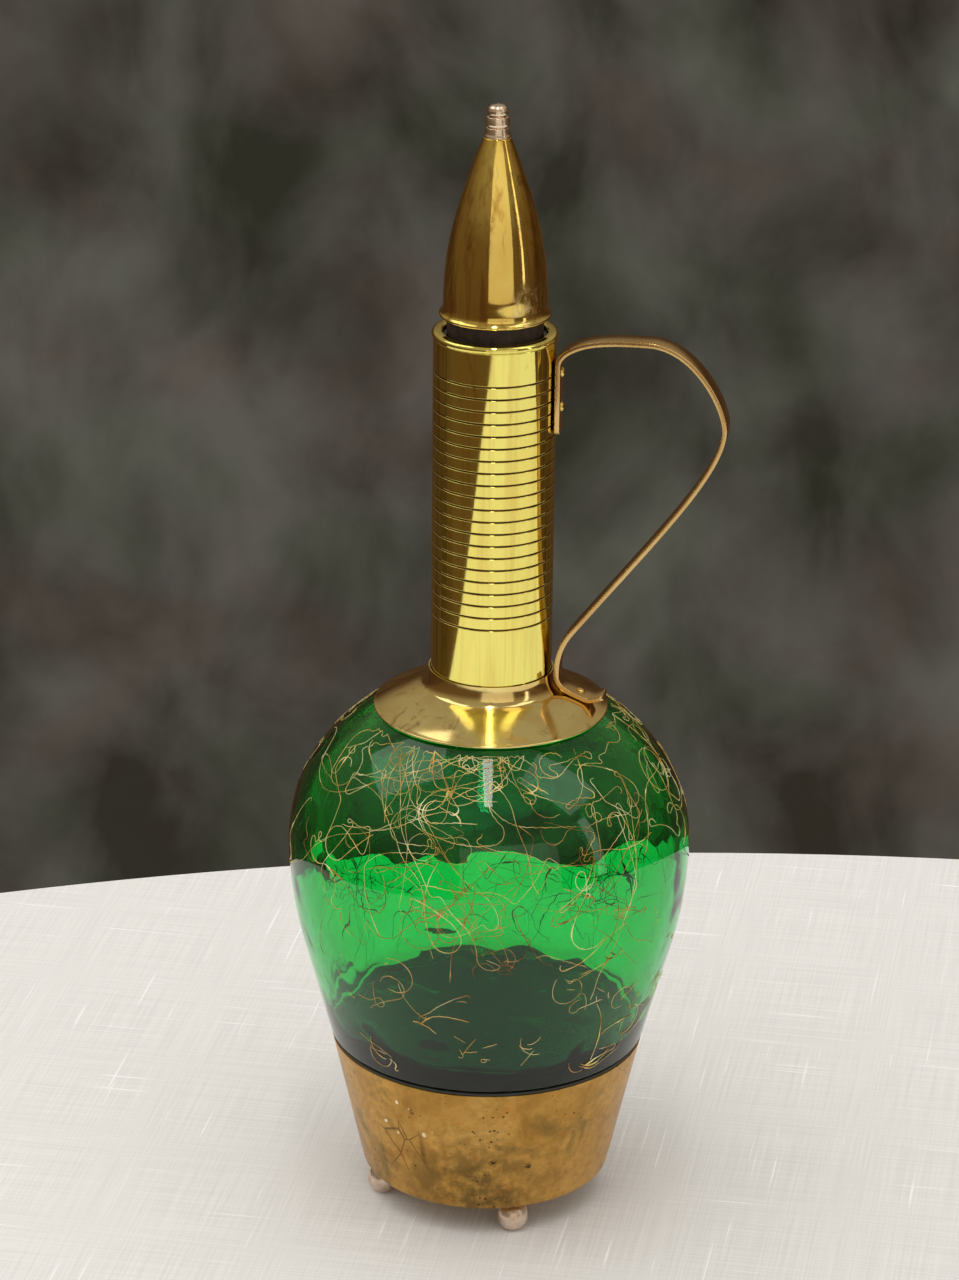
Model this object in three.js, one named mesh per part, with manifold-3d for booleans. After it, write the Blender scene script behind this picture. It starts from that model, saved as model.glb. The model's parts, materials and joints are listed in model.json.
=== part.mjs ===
// Musical decanter: a green glass bottle with a brass neck sleeve, collar, strap handle and bullet stopper,
// standing in a brass cup that hides a wind-up musical movement.
// Millimetres, +Z up. The origin is the centre of the bottom plate's underside, on the bottle's axis.
// The handle points along +X, and the movement's bedplate lies square to X and Y.

import * as THREE from "three";
import { mergeVertices } from "three/addons/utils/BufferGeometryUtils.js";
import Module from "manifold-3d";

const wasm = await Module();
wasm.setup();

// Driving dimensions

// Base cup, spun from sheet, with a lip turned in at the bottom
const cupHeight = 43.1;
const cupTopRadius = 47.0;
const cupBottomRadius = 37.3;
const cupWall = 0.9;
const cupCornerRadius = 1.6;
const cupLipWidth = 8.6;

// Bottom plate and ball feet
const plateThickness = 1.2;
const footCount = 4;
const firstFootAngle = 25;
const footBallRadius = 4.8;
const footNeckRadius = 2.3;
const footNeckHeight = 0.5;
const footSoleRadius = 1.3;
const footStudRadius = 1.2;
const footNutWidth = 4.6;
const footNutHeight = 1.8;
const footStudEnd = 0.6;

// Glass bottle
const seamHeight = 0.9;
const glassPlinthDepth = 6.0;
const glassSeamRadius = 47.5;
const glassBellyRadius = 59.8;
const glassBellyRise = 62.5;
const glassFlankAngle = 14.6;
const glassShoulderRise = 51.0;
const glassWall = 3.6;
const glassBaseThickness = 12.0;
const glassNeckWall = 4.4;
const glassNeckFillet = 3.0;
const glassEdgeRadius = 1.2;
const padThickness = 1.0;
const shelfThickness = 1.5;

// Neck sleeve with its rolled rim and turned grooves
const sleeveRadius = 17.75;
const sleeveWall = 0.8;
const sleeveLength = 105.2;
const sleeveFootRise = 4.3;
const rimBulge = 0.45;
const rimHeight = 2.2;
const rimWidth = 3.2;
const rimSheet = 0.9;
const grooveCount = 21;
const groovePitch = 3.69;
const firstGrooveDrop = 11.9;
const grooveWidth = 0.7;
const grooveDepth = 0.3;

// Shoulder collar, which follows the glass
const collarRadius = 34.3;
const collarSheet = 0.9;
const collarFlareRadius = 21.0;
const collarFlareOverlap = 1.9;
const collarFlareSpread = 1.1;

// Strap handle and its rivets
const strapWidth = 7.2;
const strapThickness = 1.5;
const handleReach = 49.4;
const handleTabLength = 20.5;
const handleTabDrop = 29.5;
const handleTopDrop = 1.0;
const handleApexOut = 26.7;
const handleWidestDrop = 23.9;
const handleSlantAngle = 37.6;
const handleFootOut = 6.35;
const handleFootRise = 13.0;
const handleCornerOut = 6.25;
const handleCornerDrop = 2.0;
const handleTabPull = 2.5;
const handleApexPull = 14.0;
const handleBowPullUp = 6.0;
const handleBowPullDown = 12.7;
const handleSlantPull = 39.6;
const lowerTabEndRadius = 34.0;
const lowerTabEndLift = 4.8;
const rivetHeadRadius = 1.4;
const rivetHeadHeight = 0.9;
const rivetShankRadius = 0.8;
const lowerRivetRadius = 26.2;
const upperRivetInset = 7.6;
const upperRivetPitch = 10.4;

// Stopper: bullet shell, finial, tie rod and cork
const stopperGap = 4.4;
const bulletRadius = 15.0;
const bulletTopRadius = 4.0;
const bulletHeight = 48.6;
const bulletTipAngle = 20.8;
const bulletFootPull = 18.0;
const bulletTipPull = 19.0;
const bulletWall = 0.8;
const flangeRadius = 16.15;
const flangeHeight = 3.5;
const flangeLip = 0.55;
const corkPlugLength = 24.0;
const corkTipRadius = 10.4;
const closingPlateThickness = 0.8;
const tieRodRadius = 1.5;
const corkNutRadius = 5.0;
const corkNutHeight = 2.4;
const finialRadius = 3.9;
const finialHeight = 9.5;

// Movement: bedplate and mainspring barrel
const bedLength = 50.0;
const bedWidth = 38.0;
const bedThickness = 2.0;
const bedCornerRadius = 3.0;
const barrelX = -13.0;
const barrelY = 4.0;
const barrelRadius = 10.2;
const barrelHeight = 7.6;
const barrelSheet = 0.7;
const arborRadius = 2.0;
const arborCoreRadius = 3.0;
const arborPivotRadius = 1.5;
const springTurns = 4;
const springStrip = 0.35;
const ratchetRadius = 6.4;
const ratchetDepth = 1.0;
const ratchetTeeth = 16;
const ratchetThickness = 1.2;
const clickArm = 9.5;
const clickOffset = 3.1;
const clickWidth = 2.6;
const clickTipClearance = 0.15;
const bridgeWidth = 4.0;
const bridgeThickness = 1.4;
const bridgePost = 3.0;

// Movement: toothed wheels
const crownTeeth = 36;
const crownModule = 0.6;
const crownFace = 1.7;
const crownDisc = 1.2;
const cylinderPinionTeeth = 12;
const cylinderWheelTeeth = 32;
const fineModule = 0.4;
const secondPinionTeeth = 10;
const wormWheelTeeth = 20;
const wormModule = 0.5;
const wormStarts = 2;
const wormPitchRadius = 1.3;
const wheelFace = 1.2;
const wormWheelFace = 0.8;
const secondArborDip = 25;

// Movement: pinned cylinder and comb
const drumRadius = 6.5;
const drumLength = 15.8;
const drumArborRadius = 0.9;
const pinHeight = 0.5;
const pinRadius = 0.22;
const pinsPerTrack = 2;
const combTeeth = 18;
const combSlot = 0.3;
const combThickness = 1.0;
const combDepth = 15.4;
const combClampDepth = 6.0;

// Movement: bearings, governor and silencer
const bearingThickness = 1.4;
const frameSheet = 1.2;
const secondArborRadius = 0.7;
const governorShaftRadius = 0.6;
const wormLength = 6.6;
const brakeCollarRadius = 3.2;
const brakeCollarThickness = 0.8;
const fanHeight = 4.6;
const fanReach = 3.6;
const fanBlade = 0.5;
const stopPinX = 11.0;
const stopPinY = 23.0;
const stopPinRadius = 1.4;
const stopPinTravel = 3.0;
const guideFlangeRadius = 2.8;
const stopArmWidth = 2.2;
const stopArmThickness = 0.8;

// Winding key
const keyWingWidth = 20.0;
const keyWingHeight = 6.0;
const keyWingThickness = 1.6;
const keyHubRadius = 2.6;

// Movement screws
const screwRadius = 0.9;
const screwHeadRadius = 1.7;
const screwHeadHeight = 0.9;

// Clearances
const seatGap = 0.3;
const tabGap = 0.1;
const runGap = 0.08;
const holeGap = 0.12;
const edgeGap = 0.5;
const floorGap = 0.2;

// Facets of the round pieces
const bigSegments = 28;
const roundSegments = 18;
const midSegments = 16;
const smallSegments = 12;
const screwSegments = 8;

// Heights and radii worked out from the driving dimensions
const rad = THREE.MathUtils.degToRad;
const cupBottomZ = -cupWall;
const cupTopZ = cupBottomZ + cupHeight;
const cupTaper = (cupTopRadius - cupBottomRadius) / cupHeight;
const cupLipInner = cupBottomRadius - cupLipWidth;
const footCircle = (cupLipInner + cupBottomRadius - cupCornerRadius) / 2;
const footBallDrop = Math.sqrt(footBallRadius ** 2 - footNeckRadius ** 2);
const footBallZ = cupBottomZ - footNeckHeight - footBallDrop;
const soleAngle = Math.asin(footSoleRadius / footBallRadius);
const tableZ = footBallZ - footBallRadius * Math.cos(soleAngle);
const plateRadius = cupInnerRadius(0) - edgeGap;

const glassBottomZ = cupTopZ - glassPlinthDepth;
const glassSeamZ = cupTopZ + seamHeight;
const glassBellyZ = glassSeamZ + glassBellyRise;
const glassPlinthRadius = cupInnerRadius(glassBottomZ) - edgeGap;
const glassNeckRadius = (sleeveRadius - sleeveWall) * Math.cos(Math.PI / roundSegments) - holeGap;
const glassBoreRadius = glassNeckRadius - glassNeckWall;
const padZ = glassBottomZ - padThickness;
const shelfZ = padZ - shelfThickness;

const sleeveBottomZ = shoulderZ(sleeveRadius, 0) + sleeveFootRise;
const rimTopZ = sleeveBottomZ + sleeveLength;
const glassLipZ = rimTopZ - rimSheet - seatGap;
const rimInnerRadius = sleeveRadius + rimBulge - rimWidth;
const collarLift = seatGap + 0.1 + collarSheet;

const flangeZ = rimTopZ + stopperGap;
const bulletTopZ = flangeZ + flangeHeight + bulletHeight;
const corkHeadTopZ = flangeZ + flangeHeight;
const corkTipZ = glassLipZ - corkPlugLength;
const corkPlugRadius = glassBoreRadius - seatGap;

const bedTopZ = plateThickness + bedThickness;
const ratchetZ = bedTopZ + seatGap;
const barrelZ = ratchetZ + ratchetThickness + seatGap * 2;
const crownZ = barrelZ + barrelHeight + 0.1;
const crownPitchRadius = (crownTeeth * crownModule) / 2;
const crownToothHeight = crownModule * 2.1;
const crownTopZ = crownZ + crownDisc + crownToothHeight;
const cylinderPinionRadius = (cylinderPinionTeeth * crownModule) / 2;
const cylinderZ = crownTopZ - crownModule * 0.95 + cylinderPinionRadius;
const cylinderPinionX = barrelX + crownPitchRadius - crownFace / 2;
const bearingX = barrelX + crownPitchRadius + crownFace / 2 + seatGap * 4;
const drumX = bearingX + bearingThickness + seatGap * 2;
const frameX = drumX + drumLength + seatGap * 2;
const cylinderWheelX = frameX + frameSheet + seatGap * 2;
const cylinderWheelRadius = (cylinderWheelTeeth * fineModule) / 2;
const secondPinionRadius = (secondPinionTeeth * fineModule) / 2;
const secondCentre = cylinderWheelRadius + secondPinionRadius + 0.05;
const secondY = barrelY + secondCentre * Math.cos(rad(secondArborDip));
const secondZ = cylinderZ - secondCentre * Math.sin(rad(secondArborDip));
const wormWheelRadius = (wormWheelTeeth * wormModule) / 2;
const wormWheelX = cylinderWheelX + wheelFace + seatGap * 2;
const wormX = wormWheelX + wormWheelFace / 2;
const wormY = secondY + wormWheelRadius + wormPitchRadius + holeGap;
const outerPlateX = wormWheelX + wormWheelFace + seatGap * 2;
const brakeCollarZ = secondZ + wormLength / 2 + 1.4;
const fanZ = brakeCollarZ + brakeCollarThickness + 0.5;
const governorArmZ = fanZ + fanHeight + 1.2;
const stopArmZ = brakeCollarZ - seatGap - stopArmThickness;
const bridgeZ = crownTopZ + edgeGap;
const bridgeReach = crownPitchRadius + crownFace / 2 + edgeGap + bridgePost / 2;
const keyHubTopZ = cupBottomZ - seatGap;
const keyBottomZ = tableZ + 1.1;
const pinTipZ = tableZ + floorGap;

// Inner radius of the tapered cup at a height
function cupInnerRadius(z) {
  const slantWall = cupWall * Math.sqrt(1 + cupTaper ** 2);
  return cupBottomRadius + (z - cupBottomZ) * cupTaper - slantWall;
}

// Height of the glass shoulder at a radius, raised by an even lift
function shoulderZ(radius, lift) {
  const share = radius / (glassBellyRadius + lift);
  return glassBellyZ + (glassShoulderRise + lift) * Math.sqrt(1 - share ** 2);
}

// Points up the bullet's side to a share of its line, moved inwards by a wall; the side starts upright
function bulletPoints(share, wall, steps) {
  const tip = rad(bulletTipAngle);
  const line = new THREE.CubicBezierCurve(
    new THREE.Vector2(bulletRadius, 0),
    new THREE.Vector2(bulletRadius, bulletFootPull),
    new THREE.Vector2(
      bulletTopRadius + bulletTipPull * Math.sin(tip),
      bulletHeight - bulletTipPull * Math.cos(tip)
    ),
    new THREE.Vector2(bulletTopRadius, bulletHeight)
  );
  return Array.from({ length: steps + 1 }, (_, i) => {
    const at = line.getPoint((share * i) / steps);
    const along = line.getTangent((share * i) / steps);
    return [at.x - along.y * wall, flangeZ + flangeHeight + at.y + along.x * wall];
  });
}

// A geometry as one closed solid, with its shared corners joined and its flat triangles dropped
function solidOf(geometry) {
  const bare = geometry.index ? geometry.clone() : mergeVertices(geometry, 1e-4);
  bare.deleteAttribute("normal");
  bare.deleteAttribute("uv");
  const merged = mergeVertices(bare, 1e-4);
  const index = merged.index.array;
  const kept = [];
  for (let i = 0; i < index.length; i += 3) {
    const [a, b, c] = [index[i], index[i + 1], index[i + 2]];
    if (a !== b && b !== c && c !== a) {
      kept.push(a, b, c);
    }
  }
  const made = new wasm.Manifold(
    new wasm.Mesh({
      numProp: 3,
      vertProperties: merged.attributes.position.array,
      triVerts: new Uint32Array(kept),
    })
  );
  return made;
}

function geometryOf(solid) {
  const mesh = solid.getMesh();
  const geometry = new THREE.BufferGeometry();
  geometry.setAttribute("position", new THREE.BufferAttribute(new Float32Array(mesh.vertProperties), 3));
  geometry.setIndex(new THREE.BufferAttribute(new Uint32Array(mesh.triVerts), 1));
  geometry.computeVertexNormals();
  return geometry;
}

function joined(...solids) {
  return solids.reduce((sum, next) => sum.add(next));
}

function cut(solid, ...tools) {
  return tools.reduce((rest, tool) => rest.subtract(tool), solid);
}

// A closed profile of [radius, height] points turned about Z, listed up the outside and down the inside
function turned(profile, segments) {
  const points = profile.map(([radius, height]) => new THREE.Vector2(radius, height));
  return new THREE.LatheGeometry(points, segments).rotateX(Math.PI / 2);
}

function turnedSolid(profile, segments) {
  return solidOf(turned(profile, segments));
}

// A profile that doesn't touch the axis closes on its first point
function ring(profile, segments) {
  return turnedSolid([...profile, profile[0]], segments);
}

function rod(radius, low, high, segments) {
  return turnedSolid([[0, low], [radius, low], [radius, high], [0, high]], segments);
}

function rodAlongX(radius, low, high, y, z, segments) {
  const shape = turned([[0, low], [radius, low], [radius, high], [0, high]], segments);
  return solidOf(shape.rotateY(Math.PI / 2).translate(0, y, z));
}

function block(x0, x1, y0, y1, z0, z1) {
  const shape = new THREE.BoxGeometry(x1 - x0, y1 - y0, z1 - z0);
  return solidOf(shape.translate((x0 + x1) / 2, (y0 + y1) / 2, (z0 + z1) / 2));
}

// Radius of a faceted hole that clears a round shaft all the way round
function holeRadius(shaftRadius, gap, segments) {
  return (shaftRadius + gap) / Math.cos(Math.PI / segments);
}

// Points on an ellipse arc, from one angle to another, in degrees
function arc(centreRadius, centreZ, a, b, from, to, steps) {
  return Array.from({ length: steps + 1 }, (_, i) => {
    const angle = rad(from + ((to - from) * i) / steps);
    return [centreRadius + a * Math.cos(angle), centreZ + b * Math.sin(angle)];
  });
}

function extruded(shape, depth, curveSegments) {
  return new THREE.ExtrudeGeometry(shape, { depth, bevelEnabled: false, curveSegments });
}

// A toothed wheel with straight-sided teeth, one of them at the phase angle
function gear(teeth, module, face, bore, phase) {
  const pitchRadius = (teeth * module) / 2;
  const tip = pitchRadius + module * 0.95;
  const root = pitchRadius - module * 1.15;
  const step = 360 / teeth;
  const shape = new THREE.Shape();
  for (let tooth = 0; tooth < teeth; tooth += 1) {
    const middle = phase + tooth * step;
    const corners = [[root, -0.29], [tip, -0.13], [tip, 0.13], [root, 0.29]];
    corners.forEach(([radius, share], corner) => {
      const angle = rad(middle + share * step);
      const x = radius * Math.cos(angle);
      const y = radius * Math.sin(angle);
      if (tooth === 0 && corner === 0) {
        shape.moveTo(x, y);
      } else {
        shape.lineTo(x, y);
      }
    });
  }
  shape.closePath();
  const hole = new THREE.Path();
  hole.absarc(0, 0, bore, 0, Math.PI * 2, true);
  shape.holes.push(hole);
  return extruded(shape, face, smallSegments);
}

// A wheel stood on the X axis: its shape's angle 0 points down and 90 degrees points to +Y
function stoodOnX(geometry, x, y, z) {
  return geometry.rotateY(Math.PI / 2).translate(x, y, z);
}

// A slotted screw along Z with its head's underside at the origin, head up
function screw(length) {
  const body = turnedSolid(
    [
      [0, -length],
      [screwRadius, -length],
      [screwRadius, 0],
      [screwHeadRadius, 0],
      [screwHeadRadius, screwHeadHeight * 0.7],
      [screwHeadRadius * 0.75, screwHeadHeight],
      [0, screwHeadHeight],
    ],
    screwSegments
  );
  const slotHalf = 0.22;
  const slotFloor = screwHeadHeight * 0.5;
  const reach = screwHeadRadius;
  const slot = block(-reach, reach, -slotHalf, slotHalf, slotFloor, screwHeadHeight * 2);
  return cut(body, slot);
}

function screwHole(x, y, low, high) {
  const radius = holeRadius(screwRadius, holeGap, screwSegments);
  return rod(radius, low, high, screwSegments).translate([x, y, 0]);
}

const decanter = new THREE.Group();

const finishes = {
  polishedBrass: { color: 0xd9ab45, roughness: 0.12, metalness: 1 },
  collarBrass: { color: 0xdcc07a, roughness: 0.15, metalness: 1 },
  agedBrass: { color: 0xa67c33, roughness: 0.38, metalness: 1 },
  strapBrass: { color: 0x8f6a34, roughness: 0.3, metalness: 1 },
  greenGlass: { color: 0x0c6b2c, roughness: 0.04, metalness: 0 },
  darkCork: { color: 0x2b1c12, roughness: 0.9, metalness: 0 },
  blackSeal: { color: 0x14110f, roughness: 0.8, metalness: 0 },
  feltPad: { color: 0x3a2a22, roughness: 0.95, metalness: 0 },
  wornNickel: { color: 0xb5aa98, roughness: 0.25, metalness: 1 },
  steel: { color: 0x8d9095, roughness: 0.3, metalness: 1 },
  springSteel: { color: 0x5d6470, roughness: 0.3, metalness: 1 },
  movementBrass: { color: 0xc29a4b, roughness: 0.3, metalness: 1 },
  fanPlastic: { color: 0x1d1d1f, roughness: 0.5, metalness: 0 },
};

// Pieces are drawn from the bottom plate's underside up, and moved up here so that the feet stand on z = 0
function add(name, shape, finish) {
  const geometry = shape.isBufferGeometry ? shape : geometryOf(shape);
  geometry.translate(0, 0, -tableZ);
  const mesh = new THREE.Mesh(geometry, new THREE.MeshStandardMaterial(finishes[finish]));
  mesh.name = name;
  decanter.add(mesh);
}

function footAngle(index) {
  return rad(firstFootAngle + (360 / footCount) * index);
}

function footPlace(index) {
  return [footCircle * Math.cos(footAngle(index)), footCircle * Math.sin(footAngle(index))];
}

function footHoles(low, high) {
  const radius = holeRadius(footStudRadius, holeGap, smallSegments);
  return Array.from({ length: footCount }, (_, i) => {
    const [x, y] = footPlace(i);
    return rod(radius, low, high, smallSegments).translate([x, y, 0]);
  });
}

// Screws that hold the bedplate down, put in from under the bottom plate
const bedScrewPlaces = [
  [bedLength / 2 - 4, -bedWidth / 2 + 4],
  [-bedLength / 2 + 4, -bedWidth / 2 + 4],
  [4, bedWidth / 2 - 4],
];

function makeCup() {
  const outerCorner = arc(
    cupBottomRadius - cupCornerRadius + cupTaper,
    cupBottomZ + cupCornerRadius,
    cupCornerRadius,
    cupCornerRadius,
    -90,
    0,
    3
  );
  const rimInner = cupInnerRadius(cupTopZ);
  const profile = [
    [cupLipInner, cupBottomZ],
    ...outerCorner,
    [cupTopRadius, cupTopZ],
    [rimInner, cupTopZ],
    [cupInnerRadius(0), 0],
    [cupLipInner, 0],
  ];
  add("base_cup", cut(ring(profile, bigSegments), ...footHoles(cupBottomZ - 1, 1)), "agedBrass");
}

function makeBottomPlate() {
  const disc = rod(plateRadius, 0, plateThickness, bigSegments);
  const arborHole = rod(holeRadius(arborRadius, runGap, midSegments), -1, plateThickness + 1, midSegments);
  const guideHole = rod(
    holeRadius(stopPinRadius + 0.6, holeGap, smallSegments),
    -1,
    plateThickness + 1,
    smallSegments
  );
  const plate = cut(
    disc,
    arborHole.translate([barrelX, barrelY, 0]),
    guideHole.translate([stopPinX, stopPinY, 0]),
    ...footHoles(-1, plateThickness + 1),
    ...bedScrewPlaces.map(([x, y]) => screwHole(x, y, -1, plateThickness + 1))
  );
  add("bottom_plate", plate, "agedBrass");
}

// A ball foot with a flat sole, a short neck and a stud that reaches up through the lip and the plate
function makeFeet() {
  const ballSteps = 6;
  const neckAngle = 90 - THREE.MathUtils.radToDeg(Math.asin(footNeckRadius / footBallRadius));
  const soleAngleDegrees = THREE.MathUtils.radToDeg(soleAngle);
  const studTop = plateThickness + footNutHeight + footStudEnd;
  const profile = [
    [0, tableZ],
    ...arc(0, footBallZ, footBallRadius, footBallRadius, soleAngleDegrees - 90, neckAngle, ballSteps),
    [footNeckRadius, cupBottomZ],
    [footStudRadius, cupBottomZ],
    [footStudRadius, studTop],
    [0, studTop],
  ];
  const boreRadius = holeRadius(footStudRadius, holeGap, smallSegments);
  for (let i = 0; i < footCount; i += 1) {
    const [x, y] = footPlace(i);
    add(`foot_${i + 1}`, turned(profile, smallSegments).translate(x, y, 0), "wornNickel");
    const nut = cut(
      rod(footNutWidth / Math.sqrt(3), plateThickness, plateThickness + footNutHeight, 6),
      rod(boreRadius, plateThickness - 1, studTop + 1, smallSegments)
    );
    add(`foot_nut_${i + 1}`, nut.translate([x, y, 0]), "steel");
  }
}

// The glass stands on a pad on this shelf, which is wedged in the cup's taper
function makeShelf() {
  const low = cupInnerRadius(shelfZ) - seatGap;
  const high = cupInnerRadius(padZ) - seatGap;
  const shelf = [[0, shelfZ], [low, shelfZ], [high, padZ], [0, padZ]];
  add("shelf_plate", turned(shelf, bigSegments), "steel");
  const padRadius = glassPlinthRadius - glassEdgeRadius;
  add("base_pad", rod(padRadius, padZ, glassBottomZ, bigSegments), "feltPad");
  const sealInner = glassPlinthRadius + seatGap;
  const sealOuter = cupTopRadius - seatGap;
  const seal = [
    [sealInner, cupTopZ],
    [sealOuter, cupTopZ],
    [sealOuter, glassSeamZ],
    [sealInner, glassSeamZ],
  ];
  add("seam_seal", ring(seal, bigSegments), "blackSeal");
}

// Outer and inner outlines of the bottle: plinth, flank, belly, shoulder, neck and lip
function makeGlass() {
  const flank = rad(glassFlankAngle);
  const flankSlope = Math.tan(flank);
  const arcRise = (glassBellyRadius - glassSeamRadius - glassBellyRise * flankSlope)
    / ((1 - Math.cos(flank)) / Math.sin(flank) - flankSlope);
  const arcRadius = arcRise / Math.sin(flank);
  const filletRadius = glassNeckRadius + glassNeckFillet;
  const filletAngle = THREE.MathUtils.radToDeg(Math.acos(filletRadius / glassBellyRadius));
  const filletZ = shoulderZ(filletRadius, 0);
  const outer = [
    [0, glassBottomZ],
    [glassPlinthRadius - glassEdgeRadius, glassBottomZ],
    [glassPlinthRadius, glassBottomZ + glassEdgeRadius],
    [glassPlinthRadius, glassSeamZ],
    [glassSeamRadius - glassEdgeRadius, glassSeamZ],
    [glassSeamRadius, glassSeamZ + glassEdgeRadius],
    ...arc(glassBellyRadius - arcRadius, glassBellyZ, arcRadius, arcRadius, -glassFlankAngle, 0, 3),
    ...arc(0, glassBellyZ, glassBellyRadius, glassShoulderRise, 0, filletAngle, 8).slice(1),
    [glassNeckRadius + glassNeckFillet * 0.3, filletZ + glassNeckFillet * 0.5],
    [glassNeckRadius, filletZ + glassNeckFillet * 1.3],
    [glassNeckRadius, glassLipZ],
  ];
  const innerBelly = glassBellyRadius - glassWall;
  const innerShoulder = glassShoulderRise - glassWall;
  const innerArc = arcRadius - glassWall;
  const floorZ = glassBottomZ + glassBaseThickness;
  const floorCorner = 7;
  const slantRadius = glassSeamRadius + (floorZ + floorCorner - glassSeamZ) * flankSlope - glassWall;
  const boreFillet = glassBoreRadius + glassNeckFillet;
  const boreAngle = THREE.MathUtils.radToDeg(Math.acos(boreFillet / innerBelly));
  const boreZ = glassBellyZ + innerShoulder * Math.sin(rad(boreAngle));
  const inner = [
    [glassBoreRadius, glassLipZ],
    [glassBoreRadius, boreZ + glassNeckFillet],
    ...arc(0, glassBellyZ, innerBelly, innerShoulder, boreAngle, 0, 6),
    ...arc(glassBellyRadius - arcRadius, glassBellyZ, innerArc, innerArc, 0, -glassFlankAngle, 3).slice(1),
    ...arc(slantRadius - floorCorner, floorZ + floorCorner, floorCorner, floorCorner, 0, -90, 2),
    [0, floorZ + 1.2],
  ];
  add("glass_bottle", turnedSolid([...outer, ...inner], bigSegments), "greenGlass");
}

function upperRivetHeights() {
  const lowest = rimTopZ - handleTabDrop + upperRivetInset;
  return [lowest, lowest + upperRivetPitch];
}

function rivetHoles() {
  const radius = holeRadius(rivetShankRadius, holeGap, screwSegments);
  const reach = sleeveRadius + strapThickness * 3;
  return upperRivetHeights().map((z) => rodAlongX(radius, sleeveRadius / 2, reach, 0, z, screwSegments));
}

// Brass tube over the glass neck, with turned grooves and an edge rolled over the glass lip
function makeSleeve() {
  const innerRadius = sleeveRadius - sleeveWall;
  const grooves = [];
  for (let i = grooveCount - 1; i >= 0; i -= 1) {
    const z = rimTopZ - firstGrooveDrop - i * groovePitch;
    grooves.push([sleeveRadius, z - grooveWidth / 2]);
    grooves.push([sleeveRadius - grooveDepth, z]);
    grooves.push([sleeveRadius, z + grooveWidth / 2]);
  }
  const rimRadius = sleeveRadius + rimBulge;
  const profile = [
    [innerRadius, sleeveBottomZ],
    [sleeveRadius, sleeveBottomZ],
    ...grooves,
    [sleeveRadius, rimTopZ - rimHeight],
    [rimRadius, rimTopZ - rimHeight * 0.75],
    [rimRadius, rimTopZ - rimHeight * 0.35],
    [rimRadius - rimHeight * 0.35, rimTopZ],
    [rimInnerRadius + rimSheet / 2, rimTopZ],
    [rimInnerRadius, rimTopZ - rimSheet / 2],
    [rimInnerRadius + rimSheet / 3, rimTopZ - rimSheet],
    [innerRadius, rimTopZ - rimSheet],
  ];
  add("neck_sleeve", cut(ring(profile, roundSegments), ...rivetHoles()), "polishedBrass");
}

// Top of the collar's sheet at a radius outside its flare
function collarTopZ(radius) {
  return shoulderZ(radius, collarLift);
}

function makeCollar() {
  const steps = 4;
  const flareInner = sleeveRadius + seatGap;
  const flareTopZ = sleeveBottomZ + collarFlareOverlap;
  const flareFootZ = collarTopZ(collarFlareRadius);
  const across = Array.from({ length: steps + 1 }, (_, i) => {
    return collarFlareRadius + ((collarRadius - collarFlareRadius) * i) / steps;
  });
  const coveRise = flareTopZ - flareFootZ;
  const coveRun = collarFlareRadius - flareInner - 0.35;
  const cove = arc(collarFlareRadius, flareTopZ, coveRun, coveRise, 180, 270, 4);
  const top = [...cove, ...across.slice(1).map((radius) => [radius, collarTopZ(radius)])];
  const under = across
    .slice()
    .reverse()
    .map((radius) => [radius, collarTopZ(radius) - collarSheet * 1.1]);
  const edge = [collarRadius + 0.35, collarTopZ(collarRadius) - collarSheet * 0.6];
  const inside = [[flareInner, flareFootZ + sleeveFootRise * 0.4], [flareInner, flareTopZ]];
  const profile = [...top, edge, ...under, ...inside].reverse();
  add("shoulder_collar", cut(ring(profile, bigSegments), lowerRivetHole()), "collarBrass");
}

// A solid made along +Z at the origin, put on the collar at the lower rivet and tilted with its fall
function onLowerTab(solid, above) {
  const [x, z] = lowerTabPoint(0, above);
  return solid.rotate([0, THREE.MathUtils.radToDeg(lowerTabTilt()), 0]).translate([x, 0, z]);
}

function lowerRivetHole() {
  const reach = strapThickness * 3;
  const hole = rod(holeRadius(rivetShankRadius, holeGap, screwSegments), -reach, reach, screwSegments);
  return onLowerTab(hole, 0);
}

// How steeply the collar falls away at the lower rivet, in radians
function lowerTabTilt() {
  const step = 0.5;
  const fall = collarTopZ(lowerRivetRadius - step) - collarTopZ(lowerRivetRadius + step);
  return Math.atan2(fall, step * 2);
}

// A point beside the lower rivet, along the collar's fall and above its surface
function lowerTabPoint(along, above) {
  const tilt = lowerTabTilt();
  const x = lowerRivetRadius + along * Math.cos(tilt) + above * Math.sin(tilt);
  const z = collarTopZ(lowerRivetRadius) - along * Math.sin(tilt) + above * Math.cos(tilt);
  return [x, z];
}

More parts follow.
